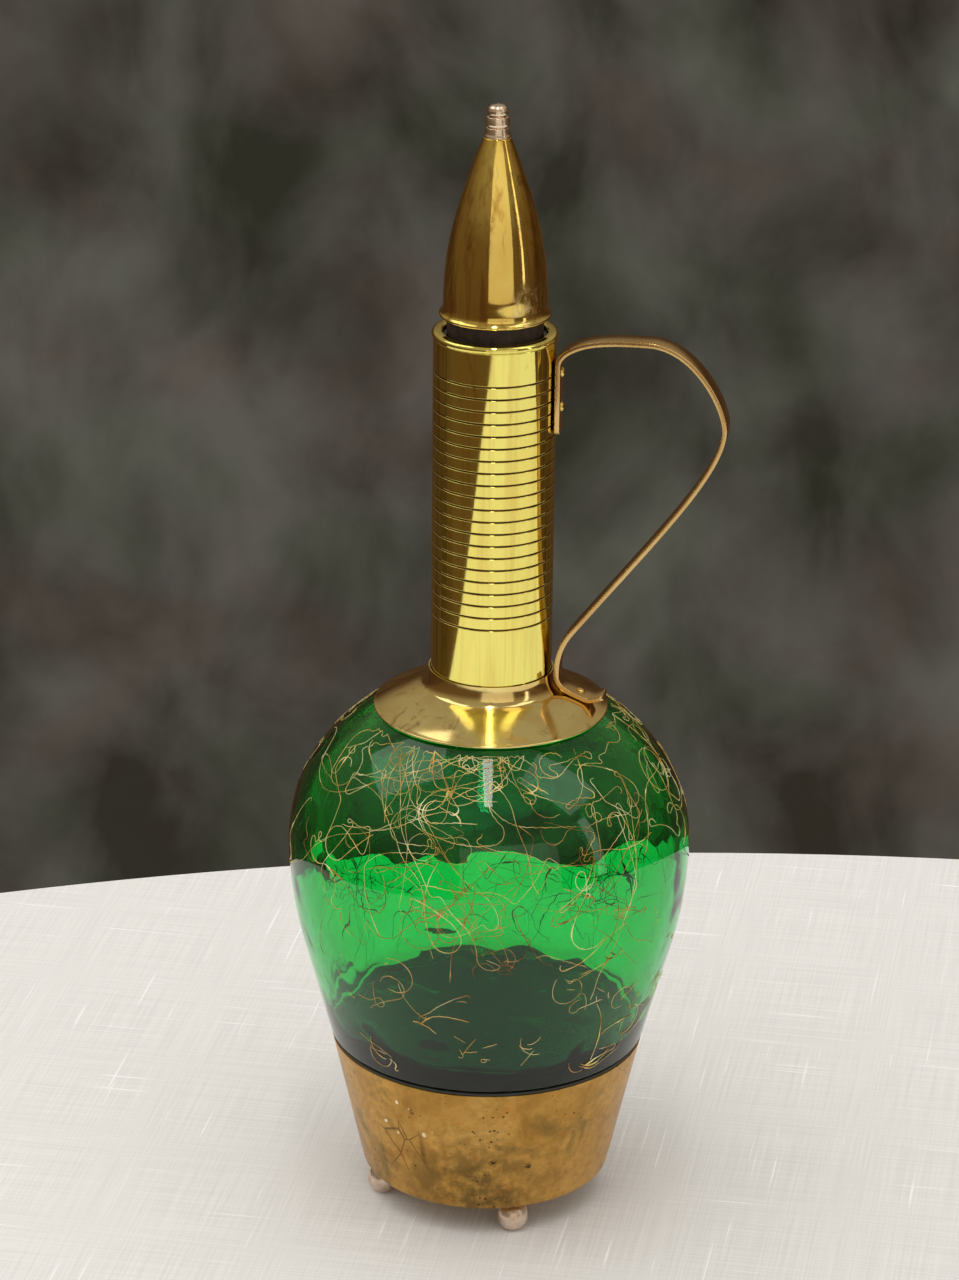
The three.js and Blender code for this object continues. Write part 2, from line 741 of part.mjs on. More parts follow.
// The strap's middle line in the XZ plane, from the upper tab's foot round to the lower tab's end
function strapLine() {
  const x = (out) => sleeveRadius + out;
  const againstSleeve = x(seatGap + strapThickness / 2);
  const tabBottom = rimTopZ - handleTabDrop;
  const tabTop = tabBottom + handleTabLength;
  const apexZ = rimTopZ - handleTopDrop;
  const widestZ = apexZ - handleWidestDrop;
  const inmostZ = sleeveBottomZ + 1.8;
  const slant = rad(handleSlantAngle);
  const slantFoot = [x(handleFootOut), inmostZ + handleFootRise];
  const point = ([px, pz]) => new THREE.Vector2(px, pz);
  const bend = (a, b, c, d) => new THREE.CubicBezierCurve(point(a), point(b), point(c), point(d));
  const line = new THREE.CurvePath();
  const corner = [againstSleeve + handleCornerOut, apexZ - handleCornerDrop];
  const apex = [x(handleApexOut), apexZ];
  const widest = [x(handleReach), widestZ];
  const inmost = [againstSleeve + collarFlareSpread, inmostZ];
  const middle = strapThickness / 2 + tabGap;
  const seatReach = rivetHeadRadius + 0.4;
  const seatStart = lowerTabPoint(-seatReach, middle);
  const seatEnd = lowerTabPoint(seatReach, middle);
  const lowerEnd = [lowerTabEndRadius, collarTopZ(lowerTabEndRadius) + lowerTabEndLift];
  line.add(new THREE.LineCurve(point([againstSleeve, tabBottom]), point([againstSleeve, tabTop])));
  line.add(
    bend(
      [againstSleeve, tabTop],
      [againstSleeve, tabTop + handleTabPull],
      [corner[0] - 4, corner[1] - 1.6],
      corner
    )
  );
  line.add(bend(corner, [corner[0] + 5, corner[1] + 2], [apex[0] - 6, apexZ], apex));
  line.add(bend(apex, [apex[0] + handleApexPull, apexZ], [widest[0], widestZ + handleBowPullUp], widest));
  line.add(
    bend(
      widest,
      [widest[0], widestZ - handleBowPullDown],
      [slantFoot[0] + handleSlantPull * Math.sin(slant), slantFoot[1] + handleSlantPull * Math.cos(slant)],
      slantFoot
    )
  );
  line.add(
    bend(
      slantFoot,
      [slantFoot[0] - 5 * Math.sin(slant), slantFoot[1] - 5 * Math.cos(slant)],
      [inmost[0], inmostZ + 5],
      inmost
    )
  );
  line.add(bend(inmost, [inmost[0], inmostZ - 3.6], lowerTabPoint(-seatReach - 2.4, middle), seatStart));
  line.add(new THREE.LineCurve(point(seatStart), point(seatEnd)));
  line.add(
    bend(
      seatEnd,
      lowerTabPoint(seatReach + 2, middle),
      [lowerEnd[0] - 2, lowerEnd[1] - 0.4],
      lowerEnd
    )
  );
  return line;
}

// A strip of even thickness along the strap's middle line, as wide as the strap
function makeHandle() {
  const line = strapLine();
  const counts = [1, 5, 3, 8, 10, 4, 6, 1, 2];
  const samples = [];
  line.curves.forEach((curve, which) => {
    for (let i = which === 0 ? 0 : 1; i <= counts[which]; i += 1) {
      const share = i / counts[which];
      samples.push({ at: curve.getPoint(share), along: curve.getTangent(share) });
    }
  });
  const side = (sign) => samples.map(({ at, along }) => {
    const half = (sign * strapThickness) / 2;
    return new THREE.Vector2(at.x - along.y * half, at.y + along.x * half);
  });
  const outline = new THREE.Shape([...side(1), ...side(-1).reverse()]);
  const strip = extruded(outline, strapWidth, 1).rotateX(Math.PI / 2).translate(0, strapWidth / 2, 0);
  const strap = cut(solidOf(strip), ...rivetHoles(), lowerRivetHole());
  add("handle_strap", strap, "strapBrass");
}

// A rivet along +Z: a low dome with its flat underside at the origin, over a plain shank
function rivet(shankLength) {
  const dome = arc(0, 0, rivetHeadRadius, rivetHeadHeight, 0, 90, 3);
  dome[3][0] = 0;
  const shank = [[0, -shankLength], [rivetShankRadius, -shankLength], [rivetShankRadius, 0]];
  return turned([...shank, ...dome], screwSegments);
}

function makeRivets() {
  const strapFace = sleeveRadius + seatGap + strapThickness;
  const shank = strapThickness + seatGap + sleeveWall * 0.9;
  upperRivetHeights().forEach((z, i) => {
    const shape = rivet(shank).rotateY(Math.PI / 2).translate(strapFace + 0.05, 0, z);
    add(`handle_rivet_${i + 1}`, shape, "polishedBrass");
  });
  const headAbove = tabGap + strapThickness + 0.05;
  const lowerShank = headAbove + collarSheet * 0.4;
  add("handle_rivet_3", onLowerTab(solidOf(rivet(lowerShank)), headAbove), "polishedBrass");
}

// Bullet shell with a flared foot, open below and bored at the top for the tie rod
function makeStopper() {
  const outside = bulletPoints(1, 0, 8);
  const inside = bulletPoints(0.94, bulletWall, 6);
  const innerTopZ = inside[inside.length - 1][1];
  const rodHole = holeRadius(tieRodRadius, holeGap, smallSegments);
  const profile = [
    ...arc(flangeRadius - flangeLip, flangeZ + flangeLip, flangeLip, flangeLip, -90, 60, 3),
    [bulletRadius + (flangeRadius - bulletRadius) * 0.25, flangeZ + flangeHeight * 0.6],
    ...outside,
    [rodHole, bulletTopZ],
    [rodHole, innerTopZ],
    ...inside.reverse(),
    [bulletRadius - bulletWall / 2, flangeZ + flangeHeight * 0.4],
  ];
  add("stopper_shell", ring(profile, roundSegments), "polishedBrass");

  const innerFitRadius = bulletRadius - bulletWall - seatGap;
  const plate = [
    [rodHole, corkHeadTopZ],
    [innerFitRadius, corkHeadTopZ],
    [innerFitRadius, corkHeadTopZ + closingPlateThickness],
    [rodHole, corkHeadTopZ + closingPlateThickness],
  ];
  add("stopper_closing_plate", ring(plate, midSegments), "polishedBrass");

  const cork = [
    [rodHole, corkTipZ],
    [corkTipRadius, corkTipZ],
    [corkPlugRadius, glassLipZ - corkPlugLength * 0.25],
    [corkPlugRadius, glassLipZ],
    [innerFitRadius, glassLipZ + 0.05],
    [innerFitRadius, corkHeadTopZ],
    [rodHole, corkHeadTopZ],
  ];
  add("stopper_cork", ring(cork, midSegments), "darkCork");

  const nutTop = corkTipZ;
  const nut = cut(
    rod(corkNutRadius, nutTop - corkNutHeight, nutTop, smallSegments),
    rod(rodHole, nutTop - corkNutHeight - 1, nutTop + 1, smallSegments)
  );
  add("cork_nut", nut, "steel");

  const finialBoreTop = bulletTopZ + finialHeight * 0.55;
  const rodTop = finialBoreTop - seatGap;
  add("stopper_tie_rod", rod(tieRodRadius, corkTipZ - corkNutHeight - 0.5, rodTop, smallSegments), "steel");

  // Three turned beads, each narrower than the one below, as shares of the finial's radius and height
  const beads = [
    [0.97, 0],
    [1, 0.04],
    [0.92, 0.12],
    [0.84, 0.29],
    [0.78, 0.33],
    [0.88, 0.37],
    [0.9, 0.44],
    [0.8, 0.62],
    [0.69, 0.665],
    [0.75, 0.7],
    [0.76, 0.77],
    [0.68, 0.88],
    [0.5, 0.95],
    [0, 1],
  ];
  const finial = [
    [rodHole, bulletTopZ],
    ...beads.map(([out, up]) => [finialRadius * out, bulletTopZ + finialHeight * up]),
    [0, finialBoreTop],
    [rodHole, finialBoreTop],
    [rodHole, bulletTopZ],
  ];
  add("finial", turnedSolid(finial, smallSegments), "wornNickel");
}

function roundedRectangle(length, width, corner) {
  const shape = new THREE.Shape();
  const [hx, hy] = [length / 2, width / 2];
  shape.moveTo(-hx + corner, -hy);
  shape.lineTo(hx - corner, -hy);
  shape.absarc(hx - corner, -hy + corner, corner, -Math.PI / 2, 0);
  shape.lineTo(hx, hy - corner);
  shape.absarc(hx - corner, hy - corner, corner, 0, Math.PI / 2);
  shape.lineTo(-hx + corner, hy);
  shape.absarc(-hx + corner, hy - corner, corner, Math.PI / 2, Math.PI);
  shape.lineTo(-hx, -hy + corner);
  shape.absarc(-hx + corner, -hy + corner, corner, Math.PI, Math.PI * 1.5);
  return shape;
}

const clickPivot = clickPivotPlace();
const bridgeScrewPlaces = [
  [barrelX, barrelY + bridgeReach],
  [barrelX, barrelY - bridgeReach],
];
const bearingFoot = 4.6;
const bearingFootDepth = 7.0;
const bearingScrewPlace = [bearingX + bearingFoot * 0.55, barrelY + 4.6];
const frameScrewPlaces = [
  [frameX + frameSheet + screwHeadRadius + holeGap, barrelY - 0.5],
  [wormX - governorShaftRadius - screwHeadRadius - seatGap, wormY],
];
const combFrontY = barrelY - drumRadius - pinHeight - runGap - combDepth;
const combScrewPlaces = [
  [drumX + drumLength * 0.2, combFrontY + combClampDepth / 2],
  [drumX + drumLength * 0.8, combFrontY + combClampDepth / 2],
];
const screwDepth = bedThickness * 0.8;

// The click's pivot: its tip is held just clear of the ratchet's teeth, and drops in behind one
function clickPivotPlace() {
  const angle = rad(clickTipAngle());
  const tip = ratchetRadius + clickTipClearance;
  const x = barrelX + tip * Math.cos(angle) - clickArm * Math.sin(angle) + clickOffset * Math.cos(angle);
  const y = barrelY + tip * Math.sin(angle) + clickArm * Math.cos(angle) + clickOffset * Math.sin(angle);
  return [x, y];
}

function clickTipAngle() {
  const step = 360 / ratchetTeeth;
  return -3 * step + 2;
}

function makeBedplate() {
  const outline = roundedRectangle(bedLength, bedWidth, bedCornerRadius);
  const plate = solidOf(extruded(outline, bedThickness, 3).translate(0, 0, plateThickness));
  const arborHole = rod(holeRadius(arborRadius, runGap, midSegments), 0, bedTopZ + 1, midSegments);
  const shaftHole = rod(
    holeRadius(governorShaftRadius, runGap, smallSegments),
    bedTopZ - bedThickness / 2,
    bedTopZ + 1,
    smallSegments
  );
  const fromAbove = [
    clickPivot,
    ...bridgeScrewPlaces,
    bearingScrewPlace,
    ...frameScrewPlaces,
    ...combScrewPlaces,
  ].map(([x, y]) => screwHole(x, y, bedTopZ - screwDepth - 0.2, bedTopZ + 1));
  const fromBelow = bedScrewPlaces.map(([x, y]) => screwHole(x, y, 0, bedTopZ + 1));
  const bed = cut(
    plate,
    arborHole.translate([barrelX, barrelY, 0]),
    shaftHole.translate([wormX, wormY, 0]),
    ...fromAbove,
    ...fromBelow
  );
  add("bedplate", bed, "movementBrass");
  bedScrewPlaces.forEach(([x, y], i) => {
    const length = plateThickness + bedThickness * 0.9;
    add(`bedplate_screw_${i + 1}`, screw(length).rotate([180, 0, 0]).translate([x, y, 0]), "steel");
  });
}

// Winding arbor: key end, journal in the plates, core inside the barrel, pivot in the bridge
function makeWinding() {
  const coreLow = barrelZ + barrelSheet + 0.2;
  const coreHigh = barrelZ + barrelHeight - 0.2;
  const keyEnd = keyBottomZ + 1.6;
  const keyEndRadius = arborRadius * 0.7;
  const arbor = [
    [0, keyEnd],
    [keyEndRadius, keyEnd],
    [keyEndRadius, keyHubTopZ],
    [arborRadius, keyHubTopZ],
    [arborRadius, coreLow],
    [arborCoreRadius, coreLow],
    [arborCoreRadius, coreHigh],
    [arborPivotRadius, coreHigh],
    [arborPivotRadius, bridgeZ + bridgeThickness],
    [0, bridgeZ + bridgeThickness],
  ];
  add("winding_arbor", turned(arbor, midSegments).translate(barrelX, barrelY, 0), "steel");

  const hub = rod(keyHubRadius, keyBottomZ, keyHubTopZ, midSegments);
  const boreRadius = holeRadius(keyEndRadius, holeGap, smallSegments);
  const bore = rod(boreRadius, keyEnd - 0.2, keyHubTopZ + 1, smallSegments);
  const wing = new THREE.Shape();
  const half = keyWingWidth / 2;
  const lobe = keyWingHeight / 2;
  wing.moveTo(-half + lobe, 0);
  wing.lineTo(-keyHubRadius, keyWingHeight * 0.2);
  wing.lineTo(keyHubRadius, keyWingHeight * 0.2);
  wing.lineTo(half - lobe, 0);
  wing.absarc(half - lobe, lobe, lobe, -Math.PI / 2, Math.PI / 2);
  wing.lineTo(keyHubRadius, keyWingHeight * 0.8);
  wing.lineTo(-keyHubRadius, keyWingHeight * 0.8);
  wing.lineTo(-half + lobe, keyWingHeight);
  wing.absarc(-half + lobe, lobe, lobe, Math.PI / 2, Math.PI * 1.5);
  const wings = extruded(wing, keyWingThickness, 6)
    .rotateX(Math.PI / 2)
    .translate(0, keyWingThickness / 2, keyBottomZ);
  const key = cut(joined(hub, solidOf(wings)), bore);
  add("winding_key", key.translate([barrelX, barrelY, 0]), "wornNickel");

  const teeth = new THREE.Shape();
  const step = 360 / ratchetTeeth;
  for (let i = 0; i < ratchetTeeth; i += 1) {
    [[ratchetRadius - ratchetDepth, 0], [ratchetRadius, step - 0.5]].forEach(([radius, offset], corner) => {
      const angle = rad(i * step + offset);
      const place = [radius * Math.cos(angle), radius * Math.sin(angle)];
      if (i === 0 && corner === 0) {
        teeth.moveTo(...place);
      } else {
        teeth.lineTo(...place);
      }
    });
  }
  teeth.closePath();
  const hole = new THREE.Path();
  hole.absarc(0, 0, holeRadius(arborRadius, holeGap, smallSegments), 0, Math.PI * 2, true);
  teeth.holes.push(hole);
  add("ratchet_wheel", extruded(teeth, ratchetThickness, 6).translate(barrelX, barrelY, ratchetZ), "steel");
}

// The click leans on the ratchet from its pivot screw, and lifts outwards as the key turns
function makeClick() {
  const angle = rad(clickTipAngle());
  const out = new THREE.Vector2(Math.cos(angle), Math.sin(angle));
  const along = new THREE.Vector2(-out.y, out.x);
  const tipRadius = ratchetRadius + clickTipClearance;
  const tip = new THREE.Vector2(barrelX, barrelY).addScaledVector(out, tipRadius);
  const pivot = new THREE.Vector2(...clickPivot);
  const shape = new THREE.Shape([
    tip,
    tip.clone().addScaledVector(along, 3.2).addScaledVector(out, 0.9),
    pivot.clone().addScaledVector(out, -clickWidth / 2),
    pivot.clone().addScaledVector(along, clickWidth / 2).addScaledVector(out, -clickWidth / 4),
    pivot.clone().addScaledVector(along, clickWidth / 2).addScaledVector(out, clickWidth / 4),
    pivot.clone().addScaledVector(out, clickWidth / 2),
    tip.clone().addScaledVector(out, ratchetDepth + 0.9),
  ]);
  const arm = solidOf(extruded(shape, ratchetThickness, 1).translate(0, 0, ratchetZ));
  const hole = rod(
    holeRadius(screwRadius, runGap, screwSegments),
    ratchetZ - 1,
    ratchetZ + ratchetThickness + 1,
    screwSegments
  );
  add("ratchet_click", cut(arm, hole.translate([...clickPivot, 0])), "steel");
  const seat = ratchetZ + ratchetThickness + 0.1;
  add("click_screw", screw(seat - bedTopZ + screwDepth).translate([...clickPivot, seat]), "steel");
}

// The barrel turns on the arbor, and its wheel closes it and drives the cylinder
function makeBarrel() {
  const bore = holeRadius(arborRadius, runGap, midSegments);
  const top = barrelZ + barrelHeight;
  const barrel = [
    [bore, barrelZ],
    [barrelRadius, barrelZ],
    [barrelRadius, top],
    [barrelRadius - barrelSheet, top],
    [barrelRadius - barrelSheet, barrelZ + barrelSheet],
    [bore, barrelZ + barrelSheet],
  ];
  add("spring_barrel", ring(barrel, midSegments).translate([barrelX, barrelY, 0]), "movementBrass");

  const pivotBore = holeRadius(arborPivotRadius, runGap, midSegments);
  const outer = crownPitchRadius + crownFace / 2;
  const discTop = crownZ + crownDisc;
  const disc = [
    [pivotBore, crownZ],
    [outer, crownZ],
    [outer, discTop],
    [pivotBore, discTop],
  ];
  const parts = [ring(disc, bigSegments)];
  const step = 360 / crownTeeth;
  const rootHalf = crownModule * 0.72;
  const tipHalf = crownModule * 0.3;
  const sink = 0.3;
  for (let i = 0; i < crownTeeth; i += 1) {
    const tooth = new THREE.Shape([
      new THREE.Vector2(-rootHalf, -sink),
      new THREE.Vector2(rootHalf, -sink),
      new THREE.Vector2(rootHalf, 0),
      new THREE.Vector2(tipHalf, crownToothHeight),
      new THREE.Vector2(-tipHalf, crownToothHeight),
      new THREE.Vector2(-rootHalf, 0),
    ]);
    const bar = extruded(tooth, crownFace - 0.1, 1)
      .rotateX(Math.PI / 2)
      .rotateZ(Math.PI / 2)
      .translate(outer - crownFace, 0, discTop);
    parts.push(solidOf(bar.rotateZ(rad(step * (i + 0.5)))));
  }
  add("barrel_wheel", joined(...parts).translate([barrelX, barrelY, 0]), "movementBrass");

  add("mainspring", mainspring().translate(barrelX, barrelY, barrelZ + barrelSheet + 0.3), "springSteel");
}

// A flat strip wound in a spiral from the arbor's core to the barrel's wall
function mainspring() {
  const inner = arborCoreRadius + seatGap;
  const outer = barrelRadius - barrelSheet - seatGap - springStrip;
  const steps = springTurns * 14;
  const inside = [];
  const outside = [];
  for (let i = 0; i <= steps; i += 1) {
    const angle = (i / steps) * springTurns * Math.PI * 2;
    const radius = inner + ((outer - inner) * i) / steps;
    inside.push(new THREE.Vector2(radius * Math.cos(angle), radius * Math.sin(angle)));
    const far = radius + springStrip;
    outside.push(new THREE.Vector2(far * Math.cos(angle), far * Math.sin(angle)));
  }
  const strip = new THREE.Shape([...inside, ...outside.reverse()]);
  return extruded(strip, barrelHeight - barrelSheet - 0.9, 1);
}

// A bridge over the barrel that carries the arbor's upper pivot on two posts
function makeBridge() {
  const halfWidth = bridgeWidth / 2;
  const y0 = barrelY - bridgeReach - bridgePost / 2;
  const y1 = barrelY + bridgeReach + bridgePost / 2;
  const [x0, x1] = [barrelX - halfWidth, barrelX + halfWidth];
  const top = bridgeZ + bridgeThickness;
  const body = joined(
    block(x0, x1, y0, y1, bridgeZ, top),
    block(x0, x1, y0, y0 + bridgePost, bedTopZ, top),
    block(x0, x1, y1 - bridgePost, y1, bedTopZ, top)
  );
  const pivot = rod(holeRadius(arborPivotRadius, runGap, midSegments), bridgeZ - 1, top + 1, midSegments);
  const bridge = cut(
    body,
    pivot.translate([barrelX, barrelY, 0]),
    ...bridgeScrewPlaces.map(([x, y]) => screwHole(x, y, bedTopZ - 1, top + 1))
  );
  add("barrel_bridge", bridge, "movementBrass");
  bridgeScrewPlaces.forEach(([x, y], i) => {
    add(`bridge_screw_${i + 1}`, screw(top - bedTopZ + screwDepth).translate([x, y, top]), "steel");
  });
}

// The pinned cylinder, its arbor, the pinion that the barrel drives and the wheel that drives the governor
function makeCylinder() {
  const bore = holeRadius(drumArborRadius, holeGap, smallSegments);
  const drum = cut(
    rodAlongX(drumRadius, drumX, drumX + drumLength, barrelY, cylinderZ, midSegments),
    rodAlongX(bore, drumX - 1, drumX + drumLength + 1, barrelY, cylinderZ, smallSegments)
  );
  const pins = [];
  const goldenAngle = 137.5;
  const clearAngle = 12;
  for (let track = 0; track < combTeeth; track += 1) {
    for (let i = 0; i < pinsPerTrack; i += 1) {
      const turn = (track * pinsPerTrack + i) * goldenAngle;
      const inQuarter = clearAngle + ((turn % 90) * (90 - 2 * clearAngle)) / 90;
      const angle = Math.floor((turn % 360) / 90) * 90 + inQuarter;
      const pin = new THREE.CylinderGeometry(pinRadius * 0.8, pinRadius, pinHeight + 0.6, 4)
        .translate(0, drumRadius + pinHeight / 2 - 0.3, 0)
        .rotateX(rad(angle))
        .translate(trackX(track), barrelY, cylinderZ);
      pins.push(solidOf(pin));
    }
  }
  add("music_cylinder", joined(drum, ...pins), "movementBrass");

  const arborLow = cylinderPinionX - 0.4;
  const arborHigh = cylinderWheelX + wheelFace + 0.3;
  const arbor = rodAlongX(drumArborRadius, arborLow, arborHigh, barrelY, cylinderZ, smallSegments);
  add("cylinder_arbor", arbor, "steel");
  const pinion = gear(cylinderPinionTeeth, crownModule, crownFace - 0.1, bore, 0);
  add("cylinder_pinion", stoodOnX(pinion, cylinderPinionX, barrelY, cylinderZ), "movementBrass");
  const wheel = gear(cylinderWheelTeeth, fineModule, wheelFace, bore, meshAngle());
  add("cylinder_wheel", stoodOnX(wheel, cylinderWheelX, barrelY, cylinderZ), "movementBrass");
}

// Direction from the cylinder to the second arbor, as an angle of a wheel stood on the X axis
function meshAngle() {
  return 90 - secondArborDip;
}

// Where a comb tooth and its track of pins lie
function trackX(track) {
  const margin = 0.9;
  return drumX + margin + ((drumLength - 2 * margin) * track) / (combTeeth - 1);
}

function makeBearing() {
  const halfPost = 1.6;
  const top = cylinderZ + 2.4;
  const body = joined(
    block(bearingX, bearingX + bearingThickness, barrelY - halfPost, barrelY + 2.8, bedTopZ, top),
    block(
      bearingX,
      bearingX + bearingFoot,
      barrelY + halfPost,
      barrelY + bearingFootDepth,
      bedTopZ,
      bedTopZ + frameSheet
    )
  );
  const arborHole = rodAlongX(
    holeRadius(drumArborRadius, runGap, smallSegments),
    bearingX - 1,
    bearingX + bearingThickness + 1,
    barrelY,
    cylinderZ,
    smallSegments
  );
  const [x, y] = bearingScrewPlace;
  add("cylinder_bearing", cut(body, arborHole, screwHole(x, y, bedTopZ - 1, bedTopZ + 3)), "movementBrass");
  add("bearing_screw", screw(frameSheet + screwDepth).translate([x, y, bedTopZ + frameSheet]), "steel");
}

// Bent frame that carries the cylinder's far end, the second arbor and the governor
function makeGovernorFrame() {
  const outerX = outerPlateX + frameSheet * 0.8;
  const baseTop = bedTopZ + frameSheet;
  const low = barrelY - 3.4;
  const high = wormY + 1.6;
  const armTop = governorArmZ + frameSheet;
  const body = joined(
    block(frameX - 1, outerX, low, high, bedTopZ, baseTop),
    block(frameX, frameX + frameSheet, low, secondY + 2.4, bedTopZ, cylinderZ + 2.6),
    block(outerPlateX, outerX, secondY - 3, secondY + 1.9, bedTopZ, armTop),
    block(wormX - 1.8, outerX, secondY - 3, high, governorArmZ, armTop)
  );
  const drumHole = rodAlongX(
    holeRadius(drumArborRadius, runGap, smallSegments),
    frameX - 1,
    frameX + frameSheet + 1,
    barrelY,
    cylinderZ,
    smallSegments
  );
  const secondHole = rodAlongX(
    holeRadius(secondArborRadius, runGap, smallSegments),
    frameX - 1,
    outerX + 1,
    secondY,
    secondZ,
    smallSegments
  );
  const shaftBore = holeRadius(governorShaftRadius, runGap, smallSegments);
  const shaftHole = joined(
    rod(shaftBore, bedTopZ - 1, baseTop + 1, smallSegments),
    rod(shaftBore, governorArmZ - 1, armTop + 1, smallSegments)
  );
  const frame = cut(
    body,
    drumHole,
    secondHole,
    shaftHole.translate([wormX, wormY, 0]),
    ...frameScrewPlaces.map(([x, y]) => screwHole(x, y, bedTopZ - 1, baseTop + 1))
  );
  add("governor_frame", frame, "movementBrass");
  frameScrewPlaces.forEach(([x, y], i) => {
    add(`frame_screw_${i + 1}`, screw(frameSheet + screwDepth).translate([x, y, baseTop]), "steel");
  });
}

// Second arbor with its pinion and the wheel that drives the governor's worm
function makeSecondWheel() {
  const sink = secondArborRadius * 0.6;
  const arbor = rodAlongX(
    secondArborRadius,
    frameX,
    outerPlateX + frameSheet * 0.8,
    secondY,
    secondZ,
    smallSegments
  );
  const gapPhase = meshAngle() + 180 + 180 / secondPinionTeeth;
  const pinion = gear(secondPinionTeeth, fineModule, wheelFace + 0.2, sink, gapPhase);
  const wheel = gear(wormWheelTeeth, wormModule, wormWheelFace, sink, 90);
  const body = joined(
    arbor,
    solidOf(stoodOnX(pinion, cylinderWheelX - 0.1, secondY, secondZ)),
    solidOf(stoodOnX(wheel, wormWheelX, secondY, secondZ))
  );
  add("second_wheel", body, "movementBrass");
}

// Screw thread of the governor, a grid of points whose radius follows the thread
function wormThread() {
  const axialPitch = Math.PI * wormModule;
  const tip = wormPitchRadius + wormModule * 0.8;
  const root = wormPitchRadius - wormModule;
  const around = 10;
  const stepsPerPitch = 5;
  const rows = Math.round((wormLength / axialPitch) * stepsPerPitch);
  const positions = [];
  const index = [];
  for (let row = 0; row <= rows; row += 1) {
    const z = (row / rows - 0.5) * wormLength;
    for (let i = 0; i < around; i += 1) {
      const angle = (i / around) * Math.PI * 2;
      const phase = z / axialPitch - (wormStarts * (angle + Math.PI / 2)) / (Math.PI * 2) + 0.5;
      const wave = Math.abs(2 * (phase - Math.floor(phase)) - 1);
      const share = THREE.MathUtils.clamp((wave - 0.6) / 0.25, 0, 1);
      const radius = root + (tip - root) * share;
      positions.push(radius * Math.cos(angle), radius * Math.sin(angle), z);
    }
  }
  const bottom = positions.length / 3;
  positions.push(0, 0, -wormLength / 2, 0, 0, wormLength / 2);
  for (let row = 0; row < rows; row += 1) {
    for (let i = 0; i < around; i += 1) {
      const a = row * around + i;
      const b = row * around + ((i + 1) % around);
      index.push(a, b, b + around, a, b + around, a + around);
    }
  }
  for (let i = 0; i < around; i += 1) {
    const next = (i + 1) % around;
    index.push(bottom, next, i, bottom + 1, rows * around + i, rows * around + next);
  }
  const geometry = new THREE.BufferGeometry();
  geometry.setAttribute("position", new THREE.BufferAttribute(new Float32Array(positions), 3));
  geometry.setIndex(index);
  return solidOf(geometry);
}

function makeGovernor() {
  const shaftLow = bedTopZ - bedThickness / 2 + 0.1;
  const shaftTop = governorArmZ + frameSheet;
  const worm = joined(
    rod(governorShaftRadius, shaftLow, shaftTop, smallSegments),
    wormThread().translate([0, 0, secondZ]),
    rod(brakeCollarRadius, brakeCollarZ, brakeCollarZ + brakeCollarThickness, midSegments)
  );
  add("governor_worm", worm.translate([wormX, wormY, 0]), "steel");

  const hubRadius = 1.4;
  const half = fanBlade / 2;
  const meet = Math.asin(half / hubRadius);
  const outline = new THREE.Shape();
  outline.moveTo(fanReach, -half);
  outline.lineTo(fanReach, half);
  outline.absarc(0, 0, hubRadius, meet, Math.PI - meet);
  outline.lineTo(-fanReach, half);
  outline.lineTo(-fanReach, -half);
  outline.absarc(0, 0, hubRadius, Math.PI + meet, -meet);
  outline.closePath();
  const bore = new THREE.Path();
  bore.absarc(0, 0, holeRadius(governorShaftRadius, holeGap, smallSegments), 0, Math.PI * 2, true);
  outline.holes.push(bore);
  add("governor_fan", extruded(outline, fanHeight, 6).translate(wormX, wormY, fanZ), "fanPlastic");
}

// Tuned steel comb on its base, with its tips just clear of the cylinder
function makeComb() {
  const low = drumX;
  const high = drumX + drumLength;
  const baseTop = cylinderZ - combThickness / 2;
  const clampY = combFrontY + combClampDepth;
  const tipY = combFrontY + combDepth;
  const screwHoles = combScrewPlaces.map(([x, y]) => screwHole(x, y, bedTopZ - 1, cylinderZ + 2));
  const base = block(low, high, combFrontY, clampY - 0.6, bedTopZ, baseTop);
  add("comb_base", cut(base, ...screwHoles), "movementBrass");

  const pitch = trackX(1) - trackX(0);
  const half = (pitch - combSlot) / 2;
  const outline = new THREE.Shape();
  outline.moveTo(low, combFrontY);
  outline.lineTo(high, combFrontY);
  outline.lineTo(high, clampY);
  for (let tooth = combTeeth - 1; tooth >= 0; tooth -= 1) {
    const x = trackX(tooth);
    outline.lineTo(x + half, clampY);
    outline.lineTo(x + half * 0.8, tipY);
    outline.lineTo(x - half * 0.8, tipY);
    outline.lineTo(x - half, clampY);
  }
  outline.lineTo(low, clampY);
  outline.closePath();
  const comb = solidOf(extruded(outline, combThickness, 1).translate(0, 0, baseTop));
  add("music_comb", cut(comb, ...screwHoles), "springSteel");
  const combTop = baseTop + combThickness;
  combScrewPlaces.forEach(([x, y], i) => {
    add(`comb_screw_${i + 1}`, screw(combTop - bedTopZ + screwDepth).translate([x, y, combTop]), "steel");
  });
}

